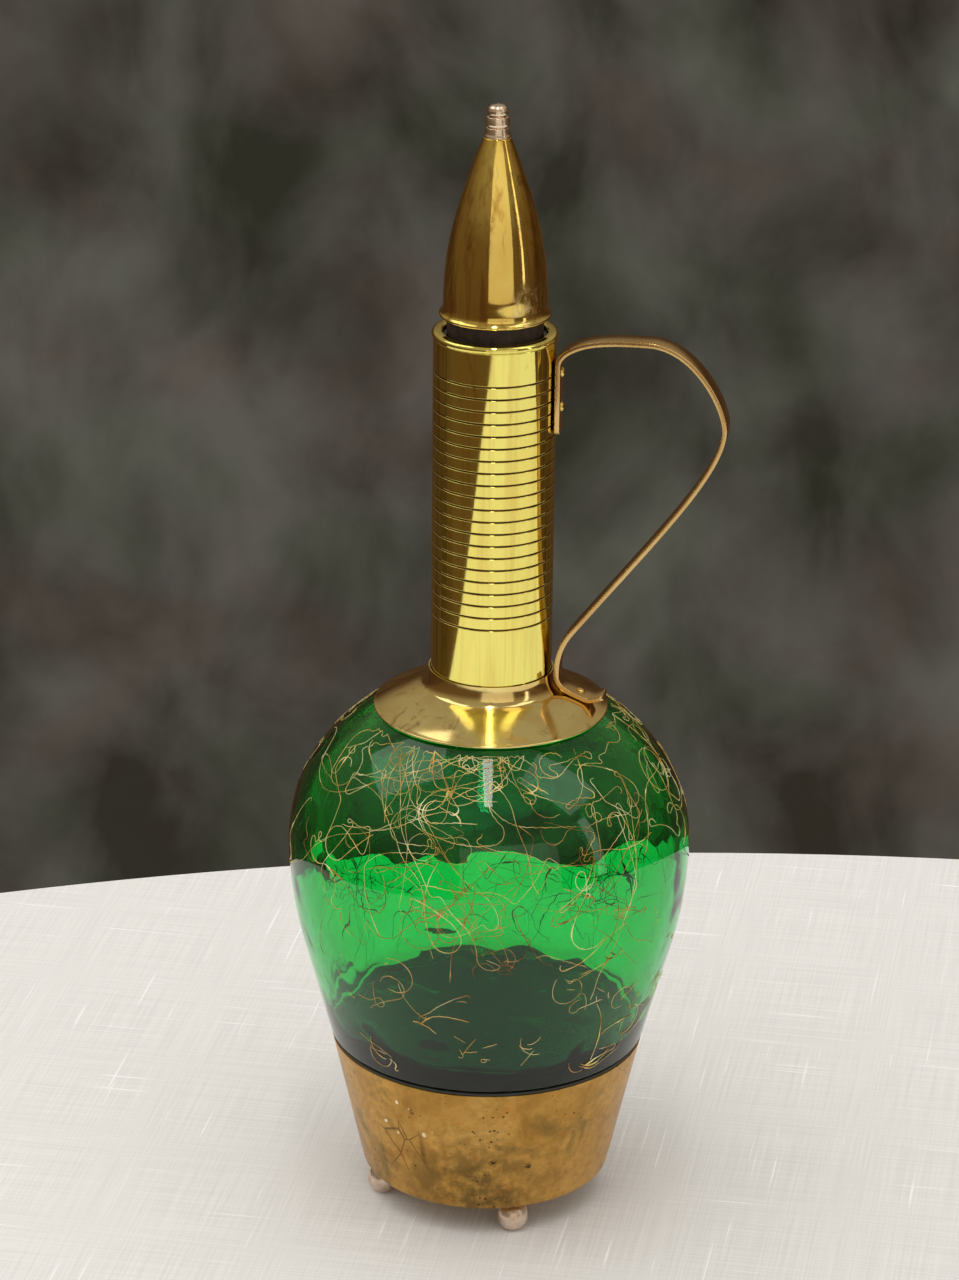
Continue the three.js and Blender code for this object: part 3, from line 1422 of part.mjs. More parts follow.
// Stop pin: the table holds it up, so that its arm brakes the governor; lifted, it drops and frees it
function makeSilencer() {
  const guideTop = plateThickness + 3;
  const sleeve = stopPinRadius + 0.6;
  const bore = holeRadius(stopPinRadius, runGap, smallSegments);
  const flangeUnder = -cupWall;
  const guide = [
    [bore, flangeUnder],
    [guideFlangeRadius, flangeUnder],
    [guideFlangeRadius, 0],
    [sleeve, 0],
    [sleeve, guideTop],
    [bore, guideTop],
  ];
  add("pin_guide", ring(guide, smallSegments).translate([stopPinX, stopPinY, 0]), "movementBrass");

  const collarZ = guideTop + stopPinTravel + 0.2;
  const collar = stopPinRadius + 0.8;
  const neck = stopPinRadius * 0.65;
  const pinTop = stopArmZ + stopArmThickness + 0.6;
  const pin = [
    [0, pinTipZ],
    [stopPinRadius * 0.6, pinTipZ],
    [stopPinRadius, pinTipZ + 0.8],
    [stopPinRadius, collarZ],
    [collar, collarZ],
    [collar, collarZ + 0.8],
    [stopPinRadius, collarZ + 0.8],
    [stopPinRadius, stopArmZ],
    [neck, stopArmZ],
    [neck, pinTop],
    [0, pinTop],
  ];
  add("stop_pin", turned(pin, smallSegments).translate(stopPinX, stopPinY, 0), "wornNickel");

  const start = new THREE.Vector2(stopPinX, stopPinY);
  const shaft = new THREE.Vector2(wormX, wormY);
  const along = shaft.clone().sub(start).normalize();
  const across = new THREE.Vector2(-along.y, along.x);
  const end = shaft.clone().addScaledVector(along, -(wormPitchRadius + wormModule * 0.8 + 0.4));
  const half = stopArmWidth / 2;
  const arm = new THREE.Shape([
    start.clone().addScaledVector(along, -half).addScaledVector(across, -half),
    end.clone().addScaledVector(across, -half),
    end.clone().addScaledVector(across, half),
    start.clone().addScaledVector(along, -half).addScaledVector(across, half),
  ]);
  const hole = rod(
    holeRadius(neck, holeGap, smallSegments),
    stopArmZ - 1,
    stopArmZ + 2,
    smallSegments
  ).translate([stopPinX, stopPinY, 0]);
  const strip = solidOf(extruded(arm, stopArmThickness, 1).translate(0, 0, stopArmZ));
  add("stop_arm", cut(strip, hole), "springSteel");
}

makeCup();
makeBottomPlate();
makeFeet();
makeShelf();
makeGlass();
makeSleeve();
makeCollar();
makeHandle();
makeRivets();
makeStopper();
makeBedplate();
makeWinding();
makeClick();
makeBarrel();
makeBridge();
makeCylinder();
makeBearing();
makeGovernorFrame();
makeSecondWheel();
makeGovernor();
makeComb();
makeSilencer();

export default decanter;
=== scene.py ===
import json
import random
from math import acos, asin, atan2, cos, degrees, hypot, inf, pi, radians, sin, sqrt, tan, tau

import bmesh
import bpy
from mathutils import Matrix, Vector, noise


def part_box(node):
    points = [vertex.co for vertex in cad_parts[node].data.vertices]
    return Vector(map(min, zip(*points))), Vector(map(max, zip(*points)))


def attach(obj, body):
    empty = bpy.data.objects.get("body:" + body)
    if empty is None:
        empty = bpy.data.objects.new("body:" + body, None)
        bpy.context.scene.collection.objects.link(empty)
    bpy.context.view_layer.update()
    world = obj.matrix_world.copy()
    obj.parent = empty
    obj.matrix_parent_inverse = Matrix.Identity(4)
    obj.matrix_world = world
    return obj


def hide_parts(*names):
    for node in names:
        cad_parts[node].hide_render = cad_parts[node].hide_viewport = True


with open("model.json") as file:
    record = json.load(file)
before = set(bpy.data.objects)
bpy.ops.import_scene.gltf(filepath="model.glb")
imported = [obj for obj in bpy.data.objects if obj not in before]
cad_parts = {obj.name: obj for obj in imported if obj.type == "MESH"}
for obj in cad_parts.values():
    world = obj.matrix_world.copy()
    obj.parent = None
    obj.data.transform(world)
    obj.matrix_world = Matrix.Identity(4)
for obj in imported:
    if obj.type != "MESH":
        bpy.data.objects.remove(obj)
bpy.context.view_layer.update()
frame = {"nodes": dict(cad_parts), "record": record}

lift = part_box("bottom_plate")[0].z
scene = bpy.context.scene


# Shared mesh helpers. Profiles are (radius, height) in mm, with heights from the bottom plate's underside.

def spotAt(radius, angle, height):
    # from mm and radians round the axis to metres in the frame
    return Vector((radius * cos(angle) / 1000, radius * sin(angle) / 1000, height / 1000 + lift))


def around(radius, angle, height):
    # the same with the angle in degrees
    return spotAt(radius, radians(angle), height)


def place(point):
    return spotAt(point[0], 0, point[1])


def inMm(co):
    # distance from the axis and height
    return hypot(co.x, co.y) * 1000, (co.z - lift) * 1000


def arc(radius, height, a, b, start, end, steps):
    # part of an ellipse with half axes a and b, from start to end in degrees
    points = []
    for i in range(steps + 1):
        angle = radians(start + (end - start) * i / steps)
        points.append((radius + a * cos(angle), height + b * sin(angle)))
    return points


def ring(inner, outer, low, high):
    return [(inner, low), (outer, low), (outer, high), (inner, high)]


def straight(start, end, steps):
    return [(start[0] + (end[0] - start[0]) * k / steps, start[1] + (end[1] - start[1]) * k / steps)
            for k in range(steps)]


def bend(a, b, c, d, steps):
    points = []
    for k in range(steps + 1):
        t = k / steps
        points.append(a * (1 - t) ** 3 + b * 3 * t * (1 - t) ** 2 + c * 3 * t ** 2 * (1 - t) + d * t ** 3)
    return points


def softened(points, radius, closed=False, steps=4, flattest=22):
    # every corner sharper than flattest becomes a small curve, with guard points on long runs
    longest, longRun, guard = 0.45, 3, 0.3
    made = []
    count = len(points)
    for i, here in enumerate(points):
        if not closed and i in (0, count - 1):
            made.append(here)
            continue
        p, a, b = Vector(here), Vector(points[i - 1]), Vector(points[(i + 1) % count])
        into, away = p - a, b - p
        turn = into.angle(away, 0)
        if degrees(turn) < flattest:
            made.append(here)
            continue
        cut = min(radius * tan(turn / 2), into.length * longest, away.length * longest)
        first, last = p - into.normalized() * cut, p + away.normalized() * cut
        if into.length > cut * longRun:
            made.append(tuple(first - into.normalized() * cut * guard))
        for k in range(steps + 1):
            t = k / steps
            q = first * (1 - t) ** 2 + p * 2 * t * (1 - t) + last * t ** 2
            made.append((q.x, q.y))
        if away.length > cut * longRun:
            made.append(tuple(last + away.normalized() * cut * guard))
    return made


def spun(points, steps, closed=False):
    bm = bmesh.new()
    verts = [bm.verts.new(place(p)) for p in points]
    edges = [bm.edges.new(pair) for pair in zip(verts, verts[1:])]
    if closed:
        edges.append(bm.edges.new((verts[-1], verts[0])))
    bmesh.ops.spin(bm, geom=verts + edges, cent=(0, 0, 0), axis=(0, 0, 1), dvec=(0, 0, 0),
                   angle=tau, steps=steps, use_merge=True)
    bmesh.ops.remove_doubles(bm, verts=bm.verts, dist=1e-6)
    return bm


def wavered(bm, amount, scale, seed, low=-inf):
    # slow unevenness along the normals, in mm, above the height low
    bm.normal_update()
    shift = Vector((seed, seed * 1.7, -seed))
    for vert in bm.verts:
        if inMm(vert.co)[1] > low:
            vert.co += vert.normal * noise.noise(vert.co * scale + shift) * amount / 1000


def added(name, data):
    thing = bpy.data.objects.new(name, data)
    scene.collection.objects.link(thing)
    return thing


def meshOf(name, bm, materials):
    mesh = bpy.data.meshes.new(name)
    bm.to_mesh(mesh)
    bm.free()
    for material in materials:
        mesh.materials.append(material)
    return mesh


def finishMesh(name, bm, body, replaced, materials, sharpest=38):
    bmesh.ops.recalc_face_normals(bm, faces=bm.faces)
    for face in bm.faces:
        face.smooth = True
    for edge in bm.edges:
        if len(edge.link_faces) == 2 and edge.calc_face_angle(0) > radians(sharpest):
            edge.smooth = False
    piece = added(name, meshOf(name, bm, materials))
    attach(piece, body)
    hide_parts(*replaced)
    return piece


# Shared material helpers. A noise is given as (scale, detail, roughness, distortion, stretch).

def startMaterial(name):
    material = bpy.data.materials.new(name)
    material.use_nodes = True
    tree = material.node_tree
    return material, tree, tree.nodes["Principled BSDF"]


def newNode(tree, kind, **settings):
    node = tree.nodes.new("ShaderNode" + kind)
    for socket, value in settings.items():
        node.inputs[socket].default_value = value
    return node


def pointOf(tree, stretch, source):
    mapping = newNode(tree, "Mapping", Scale=stretch)
    tree.links.new(newNode(tree, "TexCoord").outputs[source], mapping.inputs["Vector"])
    return mapping.outputs["Vector"]


def noiseOf(tree, scale, detail, roughness=0.55, distortion=0, stretch=(1, 1, 1), source="Object"):
    node = newNode(tree, "TexNoise", Scale=scale, Detail=detail, Roughness=roughness, Distortion=distortion)
    tree.links.new(pointOf(tree, stretch, source), node.inputs["Vector"])
    return node.outputs["Fac"]


def cellsOf(tree, scale, feature="F1", stretch=(1, 1, 1)):
    node = newNode(tree, "TexVoronoi", Scale=scale)
    node.feature = feature
    tree.links.new(pointOf(tree, stretch, "Object"), node.inputs["Vector"])
    return node.outputs["Distance"]


def ramp(tree, value, stops):
    node = newNode(tree, "ValToRGB")
    line = node.color_ramp
    while len(line.elements) < len(stops):
        line.elements.new(0.5)
    for element, (at, colour) in zip(line.elements, stops):
        element.position = at
        if not isinstance(colour, tuple):
            colour = (colour, colour, colour)
        element.color = (*colour, 1)
    tree.links.new(value, node.inputs["Fac"])
    return node.outputs["Color"]


def patches(tree, start, full, grain, strength=1.0):
    # nothing where the noise is under start, and all of the strength from full on
    return ramp(tree, noiseOf(tree, *grain), [(start, 0.0), (full, strength)])


def feed(tree, socket, value):
    if isinstance(value, bpy.types.NodeSocket):
        tree.links.new(value, socket)
    else:
        socket.default_value = (*value, 1) if isinstance(value, tuple) else value


def mixed(tree, share, first, second, blend="MIX"):
    node = newNode(tree, "Mix")
    node.data_type = "RGBA"
    node.blend_type = blend
    for socket, value in zip(("Factor", 6, 7), (share, first, second)):
        feed(tree, node.inputs[socket], value)
    return node.outputs[2]


def sums(tree, operation, first, second):
    node = newNode(tree, "Math")
    node.operation = operation
    for socket, value in zip(node.inputs, (first, second)):
        feed(tree, socket, value)
    return node.outputs["Value"]


def times(tree, first, second):
    return sums(tree, "MULTIPLY", first, second)


def weighed(tree, first, firstShare, second, secondShare):
    return sums(tree, "ADD", times(tree, first, firstShare), times(tree, second, secondShare))


def near(tree, spot, reach, core=0.3):
    # 1 around a spot on the piece and 0 beyond its reach, in metres
    away = newNode(tree, "VectorMath")
    away.operation = "DISTANCE"
    away.inputs[1].default_value = spot
    tree.links.new(newNode(tree, "TexCoord").outputs["Object"], away.inputs[0])
    return ramp(tree, sums(tree, "DIVIDE", away.outputs["Value"], reach), [(core, 1.0), (1.0, 0.0)])


def painted(tree, shader, colour, roughness, metallic=0):
    tree.links.new(colour, shader.inputs["Base Color"])
    tree.links.new(roughness, shader.inputs["Roughness"])
    shader.inputs["Metallic"].default_value = metallic


def bumped(tree, shader, height, strength, depth):
    node = newNode(tree, "Bump", Strength=strength, Distance=depth)
    tree.links.new(height, node.inputs["Height"])
    tree.links.new(node.outputs["Normal"], shader.inputs["Normal"])


def dress(node, material):
    # a CAD node keeps its shape and takes a material in its slots
    mesh = frame["nodes"][node].data
    if not mesh.materials:
        mesh.materials.append(material)
    for i in range(len(mesh.materials)):
        mesh.materials[i] = material


# Metals

def metal(name, light, dark, rough, patch, grain=(1500, 0.3, 0.00002), stains=None, stainRange=(0.58, 0.72),
          stretch=(1, 1, 1)):
    # grain is its scale, share and depth
    material, tree, shader = startMaterial(name)
    clouds = noiseOf(tree, patch, 6, 0.6, 0.4, stretch)
    colour = ramp(tree, clouds, [(0.32, dark), (0.62, light)])
    if stains:
        colour = mixed(tree, patches(tree, *stainRange, (patch * 2.3, 8, 0.7, 0.8)), colour, stains)
    fine = noiseOf(tree, grain[0], 3, 0.6, 0, stretch)
    wear = weighed(tree, clouds, 0.7, fine, 0.3)
    painted(tree, shader, colour, ramp(tree, wear, [(0.35, rough[0]), (0.7, rough[1])]), 1)
    bumped(tree, shader, fine, *grain[1:])
    return material


wiping = {"clouds": (55, 6, 0.6, 0.5, (1, 1, 0.35)), "streaks": (420, 3, 0.6, 0.15, (1, 1, 0.035)),
          "tarnish": (130, 8, 0.72, 1.0, (1, 1, 0.45)), "tarnishEdge": 0.09, "tarnishShare": 0.85,
          "scuffed": (420, 5, 0.7, 0.5, (1, 1, 0.6)), "scuffShare": 0.9, "pale": (0.82, 0.66, 0.36),
          "dull": (0.36, 0.36, 0.36), "relief": 0.2}


def wipedBrass(name, light, dark, stain, streak, spots, rough, ripple, scuff=None):
    # polished by hand for years: upright streaks, brown clouds and, around the scuff, pale dull wear
    material, tree, shader = startMaterial(name)
    clouds = noiseOf(tree, *wiping["clouds"])
    colour = ramp(tree, clouds, [(0.36, dark), (0.58, light)])
    streaks = noiseOf(tree, *wiping["streaks"])
    colour = mixed(tree, ramp(tree, streaks, [(0.48, 0.0), (0.66, streak)]), colour, stain)
    tarnish = patches(tree, spots, spots + wiping["tarnishEdge"], wiping["tarnish"], wiping["tarnishShare"])
    colour = mixed(tree, tarnish, colour, stain)
    worn = weighed(tree, streaks, 0.4, tarnish, 0.3)
    roughness = ramp(tree, worn, [(0.15, rough[0]), (0.55, rough[1])])
    if scuff:
        ragged = patches(tree, 0.44, 0.66, wiping["scuffed"], wiping["scuffShare"])
        pale = times(tree, near(tree, *scuff), ragged)
        colour = mixed(tree, pale, colour, wiping["pale"])
        roughness = mixed(tree, pale, roughness, wiping["dull"])
    painted(tree, shader, colour, roughness, 1)
    bumped(tree, shader, streaks, wiping["relief"], ripple)
    return material


print("metals")
polishedBrass = metal("polishedBrass", (0.93, 0.74, 0.24), (0.80, 0.54, 0.13), (0.10, 0.22), patch=90,
                      grain=(1500, 0.12, 0.00001), stains=(0.50, 0.28, 0.06))
bulletBrass = wipedBrass("bulletBrass", (0.94, 0.74, 0.20), (0.85, 0.57, 0.11), (0.48, 0.25, 0.05),
                         streak=0.6, spots=0.58, rough=(0.06, 0.2), ripple=0.00008,
                         scuff=(around(15, -34, 274), 0.011))
sleeveBrass = wipedBrass("sleeveBrass", (0.97, 0.88, 0.23), (0.95, 0.80, 0.19), (0.62, 0.38, 0.08),
                         streak=0.3, spots=0.62, rough=(0.04, 0.12), ripple=0.00003)
grooveBrass = metal("grooveTarnish", (0.20, 0.10, 0.025), (0.07, 0.04, 0.012), (0.35, 0.55), patch=160,
                    grain=(900, 0.3, 0.00002))
collarBrass = metal("collarBrass", (0.92, 0.76, 0.31), (0.80, 0.57, 0.20), (0.09, 0.18), patch=60,
                    grain=(1200, 0.15, 0.00001), stains=(0.46, 0.28, 0.10), stainRange=(0.56, 0.70))
strapBrass = metal("strapBrass", (0.76, 0.53, 0.22), (0.60, 0.38, 0.14), (0.18, 0.22), patch=50,
                   grain=(90, 0.02, 0.000001), stains=(0.30, 0.17, 0.06), stainRange=(0.62, 0.80))
wornNickel = metal("wornNickel", (0.86, 0.72, 0.60), (0.62, 0.47, 0.34), (0.24, 0.42), patch=260,
                   grain=(1200, 0.2, 0.00001), stains=(0.40, 0.26, 0.15))
finialMetal = metal("finialMetal", (0.92, 0.76, 0.58), (0.56, 0.42, 0.30), (0.20, 0.30), patch=160,
                    grain=(500, 0.05, 0.000002), stains=(0.22, 0.14, 0.08))
movementBrass = metal("movementBrass", (0.82, 0.62, 0.25), (0.66, 0.46, 0.16), (0.22, 0.36), patch=120,
                      grain=(1400, 0.3, 0.00002))
steelMaterial = metal("steel", (0.56, 0.57, 0.58), (0.42, 0.43, 0.45), (0.22, 0.38), patch=150)
springSteel = metal("springSteel", (0.40, 0.42, 0.46), (0.26, 0.28, 0.33), (0.16, 0.3), patch=150,
                    stretch=(1, 0.15, 1))

# the cup's layers: where the noise starts and is full, the noise, their share, colour and place
agedLayers = {
    "mottle": (0.44, 0.62, (260, 7, 0.72, 0.4), 0.4, (0.36, 0.19, 0.04), None),
    "olive": (0.52, 0.66, (60, 8, 0.7, 0.6), 0.7, (0.20, 0.135, 0.04), None),
    # darkFoot: darker towards the bottom of the cup at the front
    "darkFoot": (0.38, 0.56, (130, 8, 0.7), 0.75, (0.13, 0.085, 0.03), (around(39, -86, 5), 0.030)),
    "rust": (0.59, 0.66, (150, 9, 0.75, 0.6, (1, 1, 0.7)), 0.6, (0.52, 0.20, 0.04), None),
}
aged = {"clouds": (42, 9, 0.66, 0.5), "fine": (520, 6, 0.7), "rough": (0.26, 0.46), "relief": (0.35, 0.00012),
        "brass": ((0.30, (0.34, 0.17, 0.035)), (0.46, (0.56, 0.31, 0.075)), (0.60, (0.66, 0.38, 0.10)),
                  (0.74, (0.76, 0.50, 0.18))),
        "pits": 480, "pitColour": (0.06, 0.035, 0.015), "cracks": 150, "crackColour": (0.10, 0.05, 0.015),
        "flecks": 330, "fleckColour": (0.98, 0.84, 0.56), "pitDepth": 1.5,
        "dents": ((around(42, -77, 17), 0.0016), (around(41, -62, 15), 0.0013),
                  (around(43.5, -40, 29), 0.0009)),
        "crackedAt": (around(42, -118, 18), 0.013, 0.5), "fleckedAt": (around(45, -116, 27), 0.014, 0.55)}


def agedCupBrass():
    material, tree, shader = startMaterial("agedBrass")
    clouds = noiseOf(tree, *aged["clouds"])
    colour = ramp(tree, clouds, aged["brass"])
    for start, full, grain, share, stain, spot in agedLayers.values():
        layer = patches(tree, start, full, grain)
        if spot:
            layer = times(tree, near(tree, *spot), layer)
        colour = mixed(tree, times(tree, layer, share), colour, stain)
    # pits in patches, and three ragged dents
    pits = ramp(tree, cellsOf(tree, aged["pits"]), [(0.12, 1.0), (0.24, 0.0)])
    pitted = times(tree, pits, patches(tree, 0.54, 0.62, (75, 3)))
    ragged = ramp(tree, noiseOf(tree, 1500, 3), [(0.40, 0.3), (0.52, 1.0)])
    for spot, size in aged["dents"]:
        pitted = sums(tree, "MAXIMUM", pitted, times(tree, near(tree, spot, size, 0.5), ragged))
    colour = mixed(tree, pitted, colour, aged["pitColour"])
    # fine dark cracks on the left, and bright flecks above them
    edges = cellsOf(tree, aged["cracks"], "DISTANCE_TO_EDGE", (1, 1, 0.55))
    cracked = times(tree, ramp(tree, edges, [(0.012, 1.0), (0.035, 0.0)]), near(tree, *aged["crackedAt"]))
    colour = mixed(tree, times(tree, cracked, 0.7), colour, aged["crackColour"])
    flecks = ramp(tree, cellsOf(tree, aged["flecks"], stretch=(1, 1, 0.75)), [(0.20, 1.0), (0.27, 0.0)])
    flecked = times(tree, near(tree, *aged["fleckedAt"]), patches(tree, 0.50, 0.55, (190, 2)))
    colour = mixed(tree, times(tree, flecks, flecked), colour, aged["fleckColour"])
    fine = noiseOf(tree, *aged["fine"])
    wear = weighed(tree, clouds, 0.6, fine, 0.4)
    painted(tree, shader, colour, ramp(tree, wear, [(0.35, aged["rough"][0]), (0.7, aged["rough"][1])]), 1)
    height = sums(tree, "SUBTRACT", sums(tree, "ADD", fine, times(tree, clouds, 2)),
                  times(tree, pitted, aged["pitDepth"]))
    bumped(tree, shader, height, *aged["relief"])
    return material


agedBrass = agedCupBrass()


def plainSurface(name, light, dark, rough, scale, depth, share=0.4, detail=8):
    material, tree, shader = startMaterial(name)
    grain = noiseOf(tree, scale, detail, 0.65)
    painted(tree, shader, ramp(tree, grain, [(0.35, dark), (0.65, light)]),
            ramp(tree, grain, [(0.3, rough[0]), (0.7, rough[1])]))
    bumped(tree, shader, grain, share, depth)
    return material


# aged cork stained dark brown, painted darker still as painted shade for the shadowed gap between the
# stopper's flange and the sleeve's rim
darkCork = plainSurface("darkCork", (0.045, 0.022, 0.012), (0.012, 0.006, 0.004), (0.6, 0.85), 420, 0.0002)
blackSeal = plainSurface("blackSeal", (0.03, 0.028, 0.026), (0.012, 0.011, 0.010), (0.4, 0.6), 300, 0.00005)
# black felt, painted nearly black as painted shade for the shut-in cup seen through the glass base
feltPad = plainSurface("feltPad", (0.010, 0.012, 0.009), (0.006, 0.007, 0.005), (0.85, 0.98), 90, 0.00003,
                       share=0.1, detail=2)
fanPlastic = plainSurface("fanPlastic", (0.75, 0.72, 0.64), (0.66, 0.62, 0.54), (0.4, 0.55), 260, 0.00003)

emerald = {"surface": (0.05, 0.94, 0.42, 1), "body": (0.03, 0.80, 0.43, 1), "density": 200, "bending": 1.5,
           "smears": (35, 5, 0.6, 1), "smearRough": 0.03, "waves": (28, 2, 0.5), "relief": (0.12, 0.0006)}


def greenGlassMaterial():
    material, tree, shader = startMaterial("greenGlass")
    shader.inputs["Base Color"].default_value = emerald["surface"]
    shader.inputs["Transmission Weight"].default_value = 1
    shader.inputs["IOR"].default_value = emerald["bending"]
    smears = patches(tree, 0.55, 0.8, emerald["smears"], emerald["smearRough"])
    tree.links.new(smears, shader.inputs["Roughness"])
    bumped(tree, shader, noiseOf(tree, *emerald["waves"]), *emerald["relief"])
    volume = newNode(tree, "VolumeAbsorption", Color=emerald["body"], Density=emerald["density"])
    tree.links.new(volume.outputs["Volume"], tree.nodes["Material Output"].inputs["Volume"])
    return material


greenGlass = greenGlassMaterial()


def goldThreadMaterial(name, worn, middle, bright):
    # a fired film, so only half metallic
    material, tree, shader = startMaterial(name)
    clouds = noiseOf(tree, 110, 5, 0.65)
    painted(tree, shader, ramp(tree, clouds, [(0.38, worn), (0.50, middle), (0.62, bright)]),
            ramp(tree, clouds, [(0.3, 0.32), (0.7, 0.5)]), 0.45)
    bumped(tree, shader, noiseOf(tree, 1400, 3), 0.3, 0.00002)
    return material


firedGold = goldThreadMaterial("firedGold", (0.56, 0.29, 0.05), (0.82, 0.60, 0.18), (0.96, 0.88, 0.50))
# a darker, browner gold for the threads across the front of the band
brownGold = goldThreadMaterial("brownGold", (0.16, 0.05, 0.012), (0.42, 0.17, 0.035), (0.66, 0.40, 0.11))
# the far side's threads: the same gold painted nearly black, as painted shade for their unlit backs seen
# through the glass
goldInPaintedShade = goldThreadMaterial("goldInPaintedShade", (0.010, 0.008, 0.004), (0.020, 0.014, 0.006), (0.05, 0.03, 0.01))

print("cup and feet")
cup = {"height": 43.1, "top": 47.0, "bottom": 37.3, "wall": 0.9, "corner": 1.6, "lip": 8.6, "seat": 0.05,
       "edge": 0.35, "dent": 0.10}


def makeCup():
    slope = (cup["top"] - cup["bottom"]) / cup["height"]
    bottom = -cup["wall"]
    top = bottom + cup["height"]
    wall = cup["wall"] * sqrt(1 + slope ** 2)

    def inner(z):
        return cup["bottom"] + (z - bottom) * slope - wall

    lipInner, corner = cup["bottom"] - cup["lip"], cup["corner"]
    points = [
        (lipInner, bottom),
        *arc(cup["bottom"] - corner + slope, bottom + corner, corner, corner, -90, 0, 8),
        *[(cup["bottom"] + slope * (z - bottom), z) for z in (4, 12, 20, 28, 36)],
        (cup["top"], top),
        (inner(top), top),
        (inner(0), cup["seat"]),
        (lipInner, cup["seat"]),
    ]
    bm = spun(softened(points, cup["edge"], True), 128, True)
    wavered(bm, cup["dent"], 45, 3)
    piece = finishMesh("baseCup", bm, "decanter", ["base_cup"], [agedBrass])


makeCup()

foot = {"ball": 4.8, "neck": 2.3, "neckHeight": 0.5, "stud": 1.2, "sole": 1.3}


def makeFeet():
    bottom = -cup["wall"]
    radius, neck = foot["ball"], foot["neck"]
    centre = bottom - foot["neckHeight"] - sqrt(radius ** 2 - neck ** 2)
    sole = degrees(asin(foot["sole"] / radius))
    ball = arc(0, centre, radius, radius, sole - 90, 90 - degrees(asin(neck / radius)), 18)
    studTop = (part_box("foot_1")[1].z - lift) * 1000
    points = [(0, ball[0][1]), *ball, (neck, bottom), (foot["stud"], bottom), (foot["stud"], studTop),
              (0, studTop)]
    for number in range(1, 5):
        low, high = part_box(f"foot_{number}")
        middle = (low + high) / 2
        bm = spun(points, 36)
        bmesh.ops.translate(bm, verts=bm.verts, vec=(middle.x, middle.y, 0))
        piece = finishMesh(f"ballFoot{number}", bm, "decanter", [f"foot_{number}"], [wornNickel])


makeFeet()

print("seam and glass")
seam = {"inner": 44.5, "outer": 46.7, "low": 42.2, "high": 43.1, "edge": 0.3}


def makeSeam():
    points = ring(seam["inner"], seam["outer"], seam["low"], seam["high"])
    bm = spun(softened(points, seam["edge"], True), 128, True)
    piece = finishMesh("seamSeal", bm, "decanter", ["seam_seal"], [blackSeal])


makeSeam()

# throat: where the shoulder turns into the neck, as shares of the fillet
glass = {"plinth": 44.2, "bottom": 36.2, "ledge": 43.1, "seam": 47.5, "belly": 59.8, "bellyZ": 105.6,
         "flank": 14.6, "rise": 51.0, "wall": 3.6, "base": 12.0, "neck": 16.57, "bore": 12.17, "fillet": 3.0,
         "lip": 262.6, "edge": 1.2, "corner": 7, "dome": 1.2, "throat": ((0.3, 0.5), (0, 1.3)), "soft": 0.8}
# the waves of the pressed inside, highest at the thick base
uneven = {"height": 2.2, "wallShare": 0.13, "broad": 62, "fine": 170, "fineShare": 0.45, "shift": (5, 2, 9),
          "baseRise": 12, "top": 150, "reach": 57}
flank = radians(glass["flank"])
bellyZ, ledge = glass["bellyZ"], glass["ledge"]
floorZ = glass["bottom"] + glass["base"]


def shoulderZ(radius, raised=0):
    share = radius / (glass["belly"] + raised)
    return bellyZ + (glass["rise"] + raised) * sqrt(1 - share ** 2)


def flankArc():
    # radius of the curve from flank to belly
    slope = tan(flank)
    rise = glass["belly"] - glass["seam"] - (bellyZ - ledge) * slope
    return rise / ((1 - cos(flank)) / sin(flank) - slope) / sin(flank)


def outerRadius(z):
    if z >= bellyZ:
        share = (z - bellyZ) / glass["rise"]
        return glass["belly"] * sqrt(max(0.0, 1 - share ** 2))
    big = flankArc()
    drop = bellyZ - z
    if drop < big * sin(flank):
        return glass["belly"] - big + sqrt(big ** 2 - drop ** 2)
    return glass["seam"] + (z - ledge) * tan(flank)


def outerGlass():
    # from the plinth's foot up to the lip
    big = flankArc()
    fillet = glass["neck"] + glass["fillet"]
    angle = degrees(acos(fillet / glass["belly"]))
    filletZ = shoulderZ(fillet)
    curve = arc(glass["belly"] - big, bellyZ, big, big, -glass["flank"], 0, 16)
    return [
        (0, glass["bottom"]),
        (glass["plinth"] - glass["edge"], glass["bottom"]),
        (glass["plinth"], glass["bottom"] + glass["edge"]),
        (glass["plinth"], ledge),
        (glass["seam"] - glass["edge"], ledge),
        *straight((glass["seam"], ledge + glass["edge"]), curve[0], 8),
        *curve,
        *arc(0, bellyZ, glass["belly"], glass["rise"], 0, angle, 30)[1:],
        *[(glass["neck"] + glass["fillet"] * out, filletZ + glass["fillet"] * up)
          for out, up in glass["throat"]],
        (glass["neck"], glass["lip"]),
    ]


def innerGlass():
    # from the lip down the bore to the middle of the floor
    big = flankArc() - glass["wall"]
    belly = glass["belly"] - glass["wall"]
    shoulder = glass["rise"] - glass["wall"]
    corner = glass["corner"]
    slant = glass["seam"] + (floorZ + corner - ledge) * tan(flank) - glass["wall"]
    angle = degrees(acos((glass["bore"] + glass["fillet"]) / belly))
    boreZ = bellyZ + shoulder * sin(radians(angle))
    curve = arc(glass["belly"] - flankArc(), bellyZ, big, big, 0, -glass["flank"], 14)[1:]
    return [
        (glass["bore"], glass["lip"]),
        (glass["bore"], boreZ + glass["fillet"]),
        *arc(0, bellyZ, belly, shoulder, angle, 0, 24),
        *curve,
        *straight(curve[-1], (slant, floorZ + corner), 8)[1:],
        *arc(slant - corner, floorZ + corner, corner, corner, 0, -90, 8),
        *[((slant - corner) * (1 - k / 10), floorZ + glass["dome"] * k / 10) for k in range(1, 11)],
    ]


